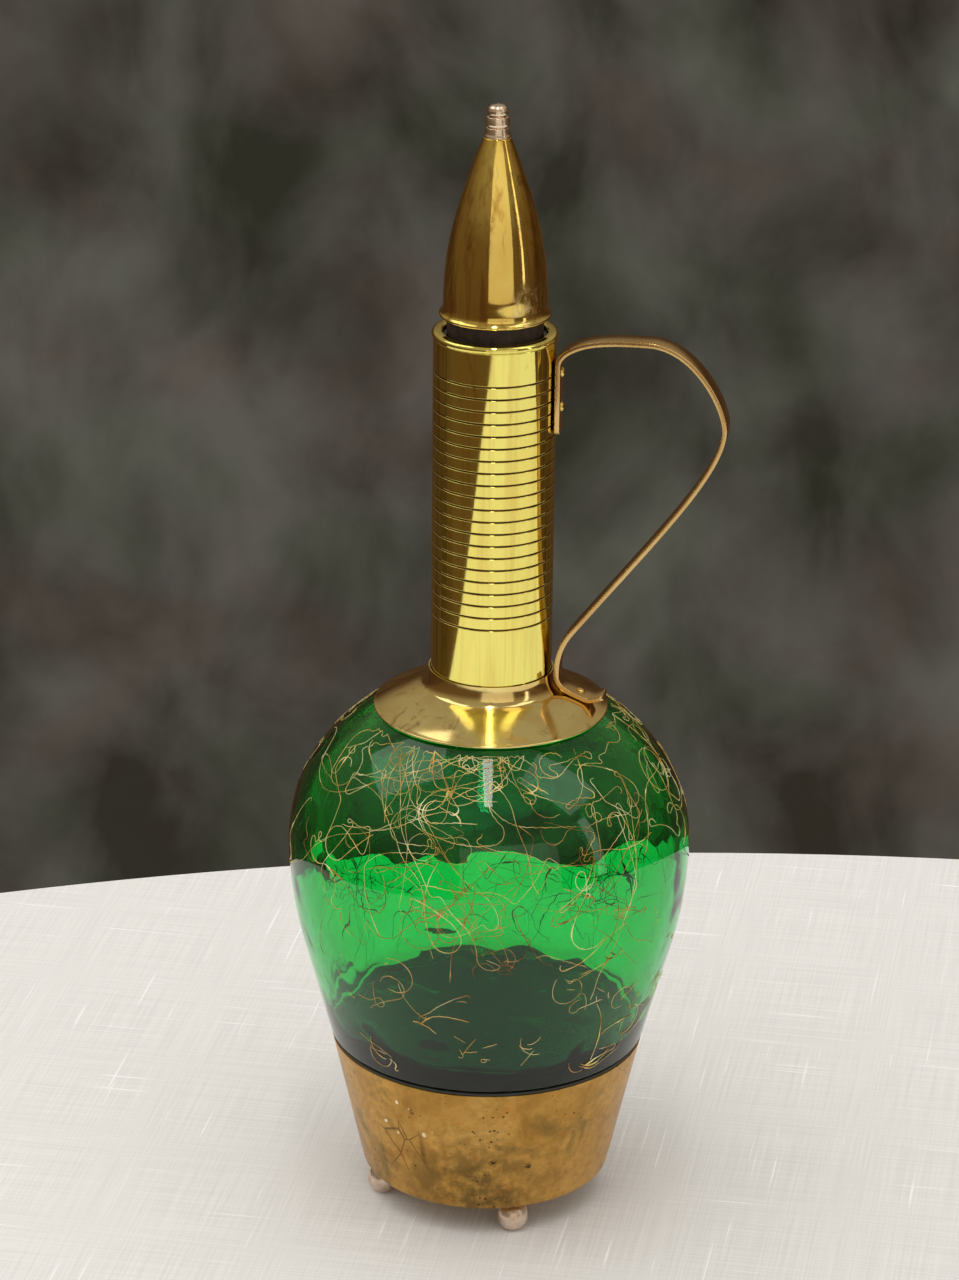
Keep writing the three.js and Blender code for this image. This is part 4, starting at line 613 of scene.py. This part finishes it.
def makeGlass():
    bm = spun(softened([*outerGlass(), *innerGlass()], glass["soft"]), 144)
    bm.normal_update()
    for vert in bm.verts:
        radius, z = inMm(vert.co)
        inside = floorZ - 1 < z < uneven["top"] and radius < uneven["reach"]
        if not inside or radius > outerRadius(z) - glass["wall"] * 0.5:
            continue
        strength = uneven["height"] * (1.0 if z < floorZ + uneven["baseRise"] else uneven["wallShare"])
        wave = (noise.noise(vert.co * uneven["broad"] + Vector(uneven["shift"]))
                + uneven["fineShare"] * noise.noise(vert.co * uneven["fine"]))
        vert.co += vert.normal * wave * strength / 1000
    piece = finishMesh("glassBottle", bm, "decanter", ["glass_bottle"], [greenGlass])


makeGlass()

pad = {"radius": 43.0, "low": 35.2, "high": 36.2, "gap": 0.05, "edge": 0.2}


def makePad():
    points = ring(0, pad["radius"], pad["low"], pad["high"] - pad["gap"])
    bm = spun(softened(points, pad["edge"]), 96)
    piece = finishMesh("basePad", bm, "decanter", ["base_pad"], [feltPad])


makePad()

print("sleeve and collar")
# bandFoot and bandTop: how far past the grooves their tarnish may lie
sleeve = {"radius": 17.75, "wall": 0.8, "bottom": 158.6, "top": 263.8, "grooves": 21, "pitch": 3.69,
          "drop": 11.9, "width": 0.62, "depth": 0.3, "floorShare": 0.4, "bandFoot": 5, "bandTop": 2,
          "bulge": 0.45, "rimHeight": 2.2, "rimInner": 15.0, "rimSheet": 0.9, "rimEdge": 0.45, "rimLean": 0.3,
          "edge": 0.12}


def makeSleeve():
    inner = sleeve["radius"] - sleeve["wall"]
    top, radius = sleeve["top"], sleeve["radius"]
    half = sleeve["width"] / 2
    floor, floorHalf = radius - sleeve["depth"], half * sleeve["floorShare"]
    grooves = []
    for i in reversed(range(sleeve["grooves"])):
        z = top - sleeve["drop"] - i * sleeve["pitch"]
        grooves += [(radius, z - half), (floor, z - floorHalf), (floor, z + floorHalf), (radius, z + half)]
    rim = sleeve["rimHeight"] / 2
    points = [
        (inner, sleeve["bottom"]),
        (radius, sleeve["bottom"]),
        *grooves,
        (radius, top - sleeve["rimHeight"]),
        *arc(radius + sleeve["bulge"] - rim, top - rim, rim, rim, -60, 90, 10),
        (sleeve["rimInner"] + sleeve["rimEdge"], top),
        (sleeve["rimInner"], top - sleeve["rimEdge"]),
        (sleeve["rimInner"] + sleeve["rimLean"], top - sleeve["rimSheet"]),
        (inner, top - sleeve["rimSheet"]),
    ]
    bm = spun(softened(points, sleeve["edge"], True, 2), 128, True)
    piece = finishMesh("neckSleeve", bm, "decanter", ["neck_sleeve"], [sleeveBrass, grooveBrass])
    for face in piece.data.polygons:
        out, z = inMm(face.center)
        inBand = sleeve["bottom"] + sleeve["bandFoot"] < z < top - sleeve["drop"] + sleeve["bandTop"]
        if inBand and inner + 0.1 < out < radius - 0.08:
            face.material_index = 1


makeSleeve()

collar = {"radius": 34.3, "sheet": 0.9, "flare": 21.0, "overlap": 1.9, "gap": 0.3, "seat": 0.1, "cove": 0.35,
          "edge": 0.4, "inside": 1.7, "dent": 0.12}


def collarZ(radius):
    return shoulderZ(radius, collar["gap"] + collar["seat"] + collar["sheet"])


def makeCollar():
    radius, flare, edge = collar["radius"], collar["flare"], collar["edge"]
    inner = sleeve["radius"] + collar["gap"]
    top = sleeve["bottom"] + collar["overlap"]
    flareZ = collarZ(flare)
    across = [flare + (radius - flare) * i / 14 for i in range(15)]
    points = [
        *arc(flare, top, flare - inner - collar["cove"], top - flareZ, 180, 262, 12),
        *[(r, collarZ(r)) for r in across[1:]],
        *arc(radius - 0.05, collarZ(radius) - edge, edge, edge, 60, -60, 5),
        *[(r, collarZ(r) - collar["sheet"] * 1.05) for r in reversed(across)],
        (inner, flareZ + collar["inside"]),
        (inner, top),
    ]
    bm = spun(points, 128, True)
    wavered(bm, collar["dent"], 60, 8)
    piece = finishMesh("shoulderCollar", bm, "decanter", ["shoulder_collar"], [collarBrass])


makeCollar()

print("handle")
# lead and pull: how far the curve's handles reach at each bend
strap = {"width": 7.2, "thick": 1.5, "reach": 49.4, "tab": 20.5, "tabDrop": 29.5, "drop": 1.0,
         "apexOut": 26.7, "widestDrop": 23.9, "slant": 37.6, "footOut": 6.35, "footRise": 13.0,
         "cornerOut": 6.25, "cornerDrop": 2.0, "tabPull": 2.5, "apexPull": 14, "bowUp": 6, "bowDown": 12.7,
         "slantPull": 39.6, "lowEnd": 34.0, "lowLift": 4.8, "rivetOut": 26.2, "sleeveGap": 0.3,
         "collarGap": 0.1, "inmostOut": 1.1, "inmostRise": 1.8, "cornerLead": (4, 1.6), "cornerPull": (5, 2),
         "apexLead": 6, "footPull": 5, "inmostPull": 3.6, "seat": (-4.2, -1.8, 1.8, 3.8), "endLead": (2, 0.4),
         "corner": 1.1, "worn": 0.32}


def tabTilt():
    fall = collarZ(strap["rivetOut"] - 0.5) - collarZ(strap["rivetOut"] + 0.5)
    return atan2(fall, 1)


def tabPoint(along, above):
    tilt = tabTilt()
    return Vector((strap["rivetOut"] + along * cos(tilt) + above * sin(tilt),
                   collarZ(strap["rivetOut"]) - along * sin(tilt) + above * cos(tilt)))


def strapLine():
    # the middle of the sheet, from the upper tab round the bow to the low end
    against = sleeve["radius"] + strap["sleeveGap"] + strap["thick"] / 2
    tabBottom = sleeve["top"] - strap["tabDrop"]
    tabTop = tabBottom + strap["tab"]
    apexZ = sleeve["top"] - strap["drop"]
    inmostZ = sleeve["bottom"] + strap["inmostRise"]
    slant = radians(strap["slant"])
    lean = Vector((sin(slant), cos(slant)))
    slantFoot = Vector((sleeve["radius"] + strap["footOut"], inmostZ + strap["footRise"]))
    corner = Vector((against + strap["cornerOut"], apexZ - strap["cornerDrop"]))
    apex = Vector((sleeve["radius"] + strap["apexOut"], apexZ))
    widest = Vector((sleeve["radius"] + strap["reach"], apexZ - strap["widestDrop"]))
    inmost = Vector((against + strap["inmostOut"], inmostZ))
    onCollar = [tabPoint(along, strap["thick"] / 2 + strap["collarGap"]) for along in strap["seat"]]
    lowEnd = Vector((strap["lowEnd"], collarZ(strap["lowEnd"]) + strap["lowLift"]))
    out, up = Vector((1, 0)), Vector((0, 1))
    footPull, slantPull = strap["footPull"], strap["slantPull"]
    line = [Vector((against, tabBottom)), Vector((against, (tabBottom + tabTop) / 2))]
    line += bend(Vector((against, tabTop)), Vector((against, tabTop + strap["tabPull"])),
                 corner - Vector(strap["cornerLead"]), corner, 12)
    line += bend(corner, corner + Vector(strap["cornerPull"]), apex - out * strap["apexLead"], apex, 8)[1:]
    line += bend(apex, apex + out * strap["apexPull"], widest + up * strap["bowUp"], widest, 24)[1:]
    line += bend(widest, widest - up * strap["bowDown"], slantFoot + lean * slantPull, slantFoot, 28)[1:]
    line += bend(slantFoot, slantFoot - lean * footPull, inmost + up * footPull, inmost, 10)[1:]
    line += bend(inmost, inmost - up * strap["inmostPull"], *onCollar[:2], 12)[1:]
    line += [onCollar[2]]
    line += bend(*onCollar[2:], lowEnd - Vector(strap["endLead"]), lowEnd, 6)[1:]
    return line


def makeHandle():
    bm = bmesh.new()
    verts = [bm.verts.new(place(p)) for p in strapLine()]
    edges = [bm.edges.new(pair) for pair in zip(verts, verts[1:])]
    half = strap["width"] / 2000
    bmesh.ops.translate(bm, verts=bm.verts, vec=(0, -half, 0))
    made = bmesh.ops.extrude_edge_only(bm, edges=edges)
    moved = [v for v in made["geom"] if isinstance(v, bmesh.types.BMVert)]
    bmesh.ops.translate(bm, verts=moved, vec=(0, half * 2, 0))
    bm.verts.ensure_lookup_table()
    corners = [v for v in bm.verts if len(v.link_edges) == 2]
    bmesh.ops.bevel(bm, geom=corners, offset=strap["corner"] / 1000, offset_type="OFFSET", affect="VERTICES",
                    segments=4, profile=0.5, material=-1)
    piece = finishMesh("handleStrap", bm, "decanter", ["handle_strap"], [strapBrass], 60)
    solid = piece.modifiers.new("thickness", "SOLIDIFY")
    solid.thickness = strap["thick"] / 1000
    solid.offset = 0
    worn = piece.modifiers.new("wornEdges", "BEVEL")
    worn.width = strap["worn"] / 1000
    worn.segments = 3
    worn.limit_method = "ANGLE"
    worn.angle_limit = radians(40)


makeHandle()

rivet = {"head": 1.4, "height": 0.9, "sunk": 0.25, "under": 0.96}


def makeRivets():
    # two through the upper tab, one through the tab on the collar
    dome = arc(0, 0, rivet["head"], rivet["height"], 0, 90, 8)
    points = [(0, -rivet["sunk"]), (rivet["head"] * rivet["under"], -rivet["sunk"]), *dome[:-1],
              (0, rivet["height"])]
    for number in range(1, 4):
        low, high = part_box(f"handle_rivet_{number}")
        bm = spun(points, 24)
        bmesh.ops.translate(bm, verts=bm.verts, vec=(0, 0, -lift))
        if number < 3:
            turn = Matrix.Rotation(radians(90), 4, "Y")
            out = sleeve["radius"] + strap["sleeveGap"] + strap["thick"]
            seat = Vector((out / 1000, 0, (low.z + high.z) / 2))
        else:
            turn = Matrix.Rotation(tabTilt(), 4, "Y")
            seat = place(tabPoint(0, strap["collarGap"] + strap["thick"]))
        bmesh.ops.transform(bm, matrix=Matrix.Translation(seat) @ turn, verts=bm.verts)
        piece = finishMesh(f"handleRivet{number}", bm, "decanter", [f"handle_rivet_{number}"],
                           [polishedBrass])


makeRivets()

print("stopper")
# lipCove and cove: from the flange's lip into the side, in lips and in mm
bullet = {"flangeZ": 268.2, "flangeHeight": 3.5, "flange": 16.15, "lip": 0.55, "radius": 15.0, "top": 4.0,
          "height": 48.6, "tip": 20.8, "footPull": 18.0, "tipPull": 19.0, "wall": 0.8, "rod": 1.62,
          "lipCove": (0.62, 1.95), "cove": (0.35, 1.5, 2.3), "steps": 50, "insideSteps": 47, "edge": 0.25,
          "dent": 0.07}
sideFoot = bullet["flangeZ"] + bullet["flangeHeight"]


def bulletSide(last, wall=0):
    tip = radians(bullet["tip"])
    low = Vector((bullet["radius"], sideFoot))
    top = Vector((bullet["top"], low.y + bullet["height"]))
    line = bend(low, low + Vector((0, bullet["footPull"])),
                top + Vector((sin(tip), -cos(tip))) * bullet["tipPull"], top, bullet["steps"])
    points = []
    for i in range(last + 1):
        along = (line[min(i + 1, bullet["steps"])] - line[max(i - 1, 0)]).normalized()
        points.append((line[i].x - along.y * wall, line[i].y + along.x * wall))
    return points


def makeBullet():
    radius, flange, lip, base = bullet["radius"], bullet["flange"], bullet["lip"], bullet["flangeZ"]
    outside, inside = bulletSide(bullet["steps"]), bulletSide(bullet["insideSteps"], bullet["wall"])
    lipIn, lipUp = bullet["lipCove"]
    coveOut, coveUp, coveTop = bullet["cove"]
    cove = bend(Vector((flange - lip * lipIn, base + lip * lipUp)), Vector((radius + coveOut, base + coveUp)),
                Vector((radius, base + coveTop)), Vector((radius, sideFoot)), 7)
    points = [
        *arc(flange - lip, base + lip, lip, lip, -90, 60, 8),
        *[(p.x, p.y) for p in cove[:-1]],
        *outside,
        (bullet["rod"], outside[-1][1]),
        (bullet["rod"], inside[-1][1]),
        *reversed(inside),
        (radius - bullet["wall"] / 2, base + bullet["flangeHeight"] * 0.4),
    ]
    bm = spun(softened(points, bullet["edge"], True, 3), 112, True)
    wavered(bm, bullet["dent"], 55, 21, base + 6)
    piece = finishMesh("stopperShell", bm, "stopper", ["stopper_shell"], [bulletBrass])


makeBullet()

cork = {"length": 24, "foot": 10.4, "taper": 6, "boreGap": 0.3, "shellGap": 0.3, "lipGap": 0.05, "edge": 0.5}


def makeCork():
    inner = bullet["radius"] - bullet["wall"] - cork["shellGap"]
    plug = glass["bore"] - cork["boreGap"]
    lip, rod = glass["lip"], bullet["rod"]
    points = [(rod, lip - cork["length"]), (cork["foot"], lip - cork["length"]), (plug, lip - cork["taper"]),
              (plug, lip), (inner, lip + cork["lipGap"]), (inner, sideFoot), (rod, sideFoot)]
    bm = spun(softened(points, cork["edge"], True), 72, True)
    piece = finishMesh("stopperCork", bm, "stopper", ["stopper_cork"], [darkCork])


makeCork()

# three turned beads, as shares of the finial's radius and height
finial = {"radius": 3.9, "bore": 0.55, "edge": 0.22,
          "beads": ((0.96, 0), (1, 0.03), (0.99, 0.06), (0.92, 0.12), (0.87, 0.21), (0.83, 0.29),
                    (0.66, 0.33), (0.86, 0.36), (0.91, 0.42), (0.89, 0.50), (0.80, 0.62), (0.56, 0.665),
                    (0.73, 0.70), (0.77, 0.75), (0.75, 0.82), (0.67, 0.90), (0.52, 0.96), (0.28, 0.99),
                    (0, 1))}


def makeFinial():
    low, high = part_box("finial")
    base = (low.z - lift) * 1000
    tall = (high.z - low.z) * 1000
    bore, rod = base + tall * finial["bore"], bullet["rod"]
    beads = [(finial["radius"] * out, base + tall * up) for out, up in finial["beads"]]
    points = [(rod, base), *beads, (0, bore), (rod, bore), (rod, base)]
    bm = spun(softened(points, finial["edge"], steps=3, flattest=12), 48)
    piece = finishMesh("finial", bm, "stopper", ["finial"], [finialMetal])


makeFinial()

print("fired gold threads")
# a field: degrees round the glass, mm down from the collar, both spreads, how many, shortest and longest
thread = {"seed": 41, "step": 0.45, "thin": 0.07, "thick": 0.125, "above": 0.03, "margin": 1.0, "dashes": 60,
          "upperTo": 36, "middleTo": 60, "farFrom": 48, "fields": (
    # upper and front
    (-150, 12, 12, 8, 3, 50, 110), (-122, 12, 11, 6, 5, 60, 150), (-114, 22, 8, 6, 3, 50, 110),
    (-97, 14, 9, 7, 5, 60, 130), (-88, 24, 8, 6, 3, 50, 100), (-99, 33, 7, 3, 3, 40, 80),
    (-66, 12, 7, 7, 2, 40, 100), (-40, 13, 9, 8, 4, 60, 130), (-26, 24, 9, 8, 3, 40, 110),
    (-50, 31, 7, 4, 3, 30, 80), (5, 20, 14, 12, 6, 50, 120), (40, 12, 14, 10, 5, 60, 130),
    (75, 22, 14, 12, 5, 50, 120), (110, 12, 14, 10, 5, 60, 130), (140, 24, 14, 10, 4, 40, 100),
    (175, 14, 14, 10, 5, 50, 120),
    # the band, in front
    (-90, 41, 4, 5, 4, 30, 70), (-96, 48, 6, 5, 7, 20, 55), (-82, 53, 7, 6, 7, 15, 45),
    (-56, 42, 7, 6, 5, 20, 60), (-44, 50, 7, 6, 5, 20, 55), (-128, 46, 6, 6, 4, 12, 40),
    (-70, 38, 6, 4, 3, 20, 50),
    # the band's far side, drawn below in gold painted nearly black as painted shade
    (152, 78, 7, 6, 12, 25, 70), (138, 86, 7, 6, 9, 20, 60), (60, 82, 8, 7, 12, 25, 80),
    (76, 92, 7, 6, 9, 20, 60), (100, 80, 7, 6, 5, 20, 60), (44, 76, 6, 6, 8, 20, 60),
    (170, 50, 9, 9, 5, 20, 60), (20, 52, 8, 9, 5, 20, 60),
    # low
    (-112, 76, 5, 5, 3, 16, 36), (-104, 86, 6, 5, 4, 8, 24), (-60, 66, 6, 5, 3, 18, 38),
    (-50, 76, 5, 8, 3, 8, 22), (-26, 92, 8, 10, 8, 10, 30), (-36, 104, 8, 4, 5, 8, 24),
    (-88, 98, 5, 3, 3, 4, 10), (-64, 98, 4, 4, 4, 5, 14), (-114, 106, 6, 3, 5, 6, 16),
    (100, 108, 30, 4, 6, 8, 20))}
# easy runs, turns, loops and wiggles: the share up to which each comes, its curl per mm, and its length in mm
# or, with a range of curls, in radians
habits = ((0.40, 0.045, (4, 14)), (0.54, (0.14, 0.34), (1.2, 4.4)), (0.82, (0.45, 1.8), (1.4, 3.3)),
          (1, 0.5, (0.8, 2.5)))


def sideCurve():
    # the glass side from under the collar down to the seam, as (radius, height, length so far)
    points = []
    length = 0.0
    z = shoulderZ(collar["radius"] + 0.9)
    while z > ledge + 2.5:
        radius = outerRadius(z)
        if points:
            length += hypot(radius - points[-1][0], z - points[-1][1])
        points.append((radius, z, length))
        z -= 0.25
    return points


side = sideCurve()
sideLength = side[-1][2]


def onSide(down, angle):
    # mm down the glass side and radians round it
    def away(i):
        return abs(side[i][2] - down)

    down = min(max(down, 0.0), sideLength)
    index = min(range(0, len(side), 8), key=away)
    nearest = min(range(max(0, index - 8), min(len(side), index + 9)), key=away)
    radius, z, _ = side[nearest]
    before, after = side[max(0, nearest - 3)], side[min(len(side) - 1, nearest + 3)]
    along = Vector((after[0] - before[0], after[1] - before[1])).normalized()
    radius, z = radius - along.y * thread["above"], z + along.x * thread["above"]
    return spotAt(radius, angle, z), radius


def wander(rng, down, angle, length):
    # one trailed line, turned back at the ends of the side
    heading = rng.uniform(0, tau)
    curl, left = 0.0, 0.0
    step, margin = thread["step"], thread["margin"]
    points = []
    for _ in range(int(length / step)):
        if left <= 0:
            kind = rng.random()
            _, curls, lasting = next(habit for habit in habits if kind < habit[0])
            if isinstance(curls, tuple):
                curl = rng.choice((-1, 1)) * rng.uniform(*curls)
                left = rng.uniform(*lasting) / abs(curl)
            else:
                curl, left = rng.gauss(0, curls), rng.uniform(*lasting)
        left -= step
        heading += curl * step
        spot, radius = onSide(down, angle)
        points.append(spot)
        down += cos(heading) * step
        angle += sin(heading) * step / radius
        if down < margin or down > sideLength - margin:
            heading = rng.uniform(-1.3, 1.3) + (pi if down > margin else 0)
            down = min(max(down, margin), sideLength - margin)
    return points


def addThreads(name, lines, rng, gold):
    data = bpy.data.curves.new(name, "CURVE")
    data.dimensions = "3D"
    data.bevel_depth = 0.001
    data.bevel_resolution = 0
    data.use_fill_caps = True
    for points in lines:
        spline = data.splines.new("POLY")
        spline.points.add(len(points) - 1)
        size = rng.uniform(thread["thin"], thread["thick"])
        for k, (slot, spot) in enumerate(zip(spline.points, points)):
            slot.co = (*spot, 1)
            # thin at the ends, with knots where the gold ran together
            fade = min(1.0, (k + 1) / 4, (len(points) - k) / 4)
            knot = max(0.0, noise.noise(spot * 210) - 0.33) * 5
            slot.radius = size * (0.45 + 0.55 * fade) * (0.8 + 0.5 * noise.noise(spot * 300) + knot)
    piece = added(name, data)
    data.materials.append(gold)
    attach(piece, "decanter")


def makeThreads():
    rng = random.Random(thread["seed"])
    lines = {"Upper": [], "Middle": [], "Lower": [], "Far": []}
    for angle, down, wide, tall, count, shortest, longest in thread["fields"]:
        zone = "Upper" if down < thread["upperTo"] else "Middle" if down < thread["middleTo"] else "Lower"
        if down > thread["farFrom"] and 0 < angle < 180:
            zone = "Far"
        for _ in range(count):
            start = min(max(down + rng.gauss(0, tall * 0.6), 1.5), sideLength - 2)
            turn = radians(angle + rng.gauss(0, wide * 0.6))
            lines[zone].append(wander(rng, start, turn, rng.uniform(shortest, longest)))
    # short dashes, low down all round
    for _ in range(thread["dashes"]):
        lines["Lower"].append(wander(rng, rng.uniform(55, sideLength - 4), rng.uniform(0, tau),
                                     rng.uniform(1.6, 5)))
    # the far side takes the gold in painted shade
    gold = {"Upper": firedGold, "Middle": brownGold, "Lower": firedGold, "Far": goldInPaintedShade}
    for zone, made in lines.items():
        addThreads(f"goldThreads{zone}", made, rng, gold[zone])


makeThreads()

print("movement and hidden pieces")
finishOf = {
    "aged_brass": agedBrass, "polished_brass": polishedBrass, "collar_brass": collarBrass,
    "strap_brass": strapBrass, "green_glass": greenGlass, "dark_cork": darkCork, "black_seal": blackSeal,
    "felt_pad": feltPad, "worn_nickel": wornNickel, "steel": steelMaterial, "spring_steel": springSteel,
    "movement_brass": movementBrass, "fan_plastic": fanPlastic,
}
for part in frame["record"]["subparts"]:
    dress(part["node"], finishOf[part["material_slot"]])

print("stage")
# a round table whose far edge is a flatter curve, under a cloth with slubs in its weave
stage = {"round": 0.78, "centre": (0.36, -0.13), "farRadius": 0.87, "farCentre": (0.20, -0.60), "thick": 0.03,
         "cloth": (0.82, 0.795, 0.76), "shade": 0.89, "slub": (0.95, 0.935, 0.915), "rough": 0.85,
         "warp": (1500, 2, 0.5, 0, (1, 0.012, 1)), "weft": (1500, 2, 0.5, 0, (0.012, 1, 1)),
         "acrossSlubs": (700, 2, 0.5, 0, (0.026, 1, 1)), "alongSlubs": (710, 2, 0.5, 0, (1, 0.022, 1)),
         "slubRange": (0.67, 0.73), "relief": (0.3, 0.0003)}


def makeTable():
    material, tree, shader = startMaterial("tableCloth")
    weave = times(tree, sums(tree, "ADD", noiseOf(tree, *stage["warp"]), noiseOf(tree, *stage["weft"])), 0.5)
    shaded = tuple(c * stage["shade"] for c in stage["cloth"])
    colour = ramp(tree, weave, [(0.38, shaded), (0.6, stage["cloth"])])
    slubs = sums(tree, "MAXIMUM", patches(tree, *stage["slubRange"], stage["acrossSlubs"]),
                 patches(tree, *stage["slubRange"], stage["alongSlubs"]))
    tree.links.new(mixed(tree, slubs, colour, stage["slub"]), shader.inputs["Base Color"])
    bumped(tree, shader, sums(tree, "ADD", weave, slubs), *stage["relief"])
    shader.inputs["Roughness"].default_value = stage["rough"]
    bm = bmesh.new()
    bmesh.ops.create_circle(bm, cap_ends=True, segments=256, radius=stage["round"])
    bmesh.ops.translate(bm, verts=bm.verts, vec=(*stage["centre"], 0))
    for vert in bm.verts:
        off = vert.co.x - stage["farCentre"][0]
        far = sqrt(max(0.0, stage["farRadius"] ** 2 - off ** 2))
        vert.co.y = min(vert.co.y, stage["farCentre"][1] + far)
    made = bmesh.ops.extrude_face_region(bm, geom=bm.faces[:])
    moved = [v for v in made["geom"] if isinstance(v, bmesh.types.BMVert)]
    bmesh.ops.translate(bm, verts=moved, vec=(0, 0, -stage["thick"]))
    bmesh.ops.recalc_face_normals(bm, faces=bm.faces)
    table = added("tableTop", meshOf("tableTop", bm, [material]))


makeTable()

# a blurred dark room from dim to pale, warmer where it is mirrored, and the shine of the room in front
room = {"dim": (0.030, 0.027, 0.020), "pale": (0.100, 0.093, 0.081), "mirrored": (1.10, 0.68, 0.45),
        "soft": (0.60, 0.59, 0.57), "blur": (30, 6, 0.5, 0.3, (1, 1, 0.7)),
        "hue": (22, 4, 0.5, 0.3, (1, 1, 1.3)),
        "tints": ((0.40, (0.93, 1.0, 0.90)), (0.50, (1, 1, 1)), (0.60, (1.0, 0.91, 0.87))),
        "shine": ((0.35, (0.11, 0.065, 0.035)), (0.55, (0.13, 0.085, 0.05)), (0.72, (0.34, 0.29, 0.22)),
                  (0.95, (0.36, 0.33, 0.28)))}


def makeRoom():
    world = bpy.data.worlds.new("room")
    scene.world = world
    world.use_nodes = True
    tree = world.node_tree
    paths = newNode(tree, "LightPath").outputs
    seen = sums(tree, "MAXIMUM", paths["Is Camera Ray"], paths["Is Transmission Ray"])
    blur = noiseOf(tree, *room["blur"], "Generated")
    hue = noiseOf(tree, *room["hue"], "Generated")
    behind = ramp(tree, blur, [(0.34, room["dim"]), (0.70, room["pale"])])
    behind = mixed(tree, 1, behind, ramp(tree, hue, room["tints"]), "MULTIPLY")
    split = newNode(tree, "SeparateXYZ")
    tree.links.new(newNode(tree, "TexCoord").outputs["Generated"], split.inputs["Vector"])
    away, up = split.outputs["Y"], split.outputs["Z"]
    shine = ramp(tree, sums(tree, "ADD", times(tree, up, 0.5), 0.5), room["shine"])
    backwards = ramp(tree, sums(tree, "SUBTRACT", away, times(tree, up, 1.8)), [(0.30, 0.0), (0.65, 1.0)])
    reflected = mixed(tree, backwards, shine, mixed(tree, 1, behind, room["mirrored"], "MULTIPLY"))
    shown = mixed(tree, seen, reflected, behind)
    lit = mixed(tree, paths["Is Diffuse Ray"], shown, room["soft"])
    tree.links.new(lit, tree.nodes["Background"].inputs["Color"])


makeRoom()

# place, aim, width, height, power and colour; metal and glass mirror the two panes, not the skylight
lamps = {
    "skylight": ((-0.45, -0.30, 2.1), (0, 0, 0.05), 3.4, 3.4, 32, (1, 1, 1)),
    "leftPane": ((-1.15, 0.05, 1.70), (0, 0, 0.2), 1.1, 1.2, 5.0, (1, 1, 1)),
    "rightPane": ((1.05, -0.10, 1.70), (0, 0, 0.2), 0.8, 1.1, 3.0, (1, 1, 1)),
    "overheadStrip": ((0.08, -0.62, 2.1), (0.02, -0.3, 0), 0.16, 1.2, 5, (1, 0.99, 0.96)),
    "roomFront": ((0.90, -2.22, 0.60), (0, 0, 0.28), 2.6, 1.8, 8.0, (1, 0.93, 0.84)),
    "frontRight": ((1.80, -0.48, 0.65), (0, 0, 0.2), 0.2, 1.3, 1.1, (1, 0.98, 0.94)),
}


def makeLamps():
    for name, (spot, aim, width, height, power, colour) in lamps.items():
        data = bpy.data.lights.new(name, "AREA")
        data.shape = "RECTANGLE"
        data.size, data.size_y = width, height
        data.energy, data.color = power, colour
        lamp = added(name, data)
        lamp.location = spot
        lamp.rotation_euler = (Vector(aim) - Vector(spot)).to_track_quat("-Z", "Y").to_euler()
        lamp.visible_glossy = name != "skylight"
        lamp.visible_diffuse = not name.endswith("Pane")


makeLamps()

print("camera")
shot = {"place": (0.2050, -1.1828, 0.6447), "yaw": 10.0, "down": 21.65, "roll": 0.63, "lens": 123.75}


def makeCamera():
    data = bpy.data.cameras.new("photoView")
    data.sensor_fit = "VERTICAL"
    data.sensor_height = data.sensor_width = 36
    data.lens = shot["lens"]
    data.clip_start, data.clip_end = 0.05, 20
    camera = added("photoView", data)
    turn = (Matrix.Rotation(radians(shot["yaw"]), 4, "Z")
            @ Matrix.Rotation(radians(90 - shot["down"]), 4, "X")
            @ Matrix.Rotation(radians(shot["roll"]), 4, "Z"))
    camera.matrix_world = Matrix.Translation(Vector(shot["place"]) + Vector((0, 0, lift))) @ turn
    scene.camera = camera


makeCamera()
scene.view_settings.view_transform = "Standard"

bpy.context.view_layer.update()
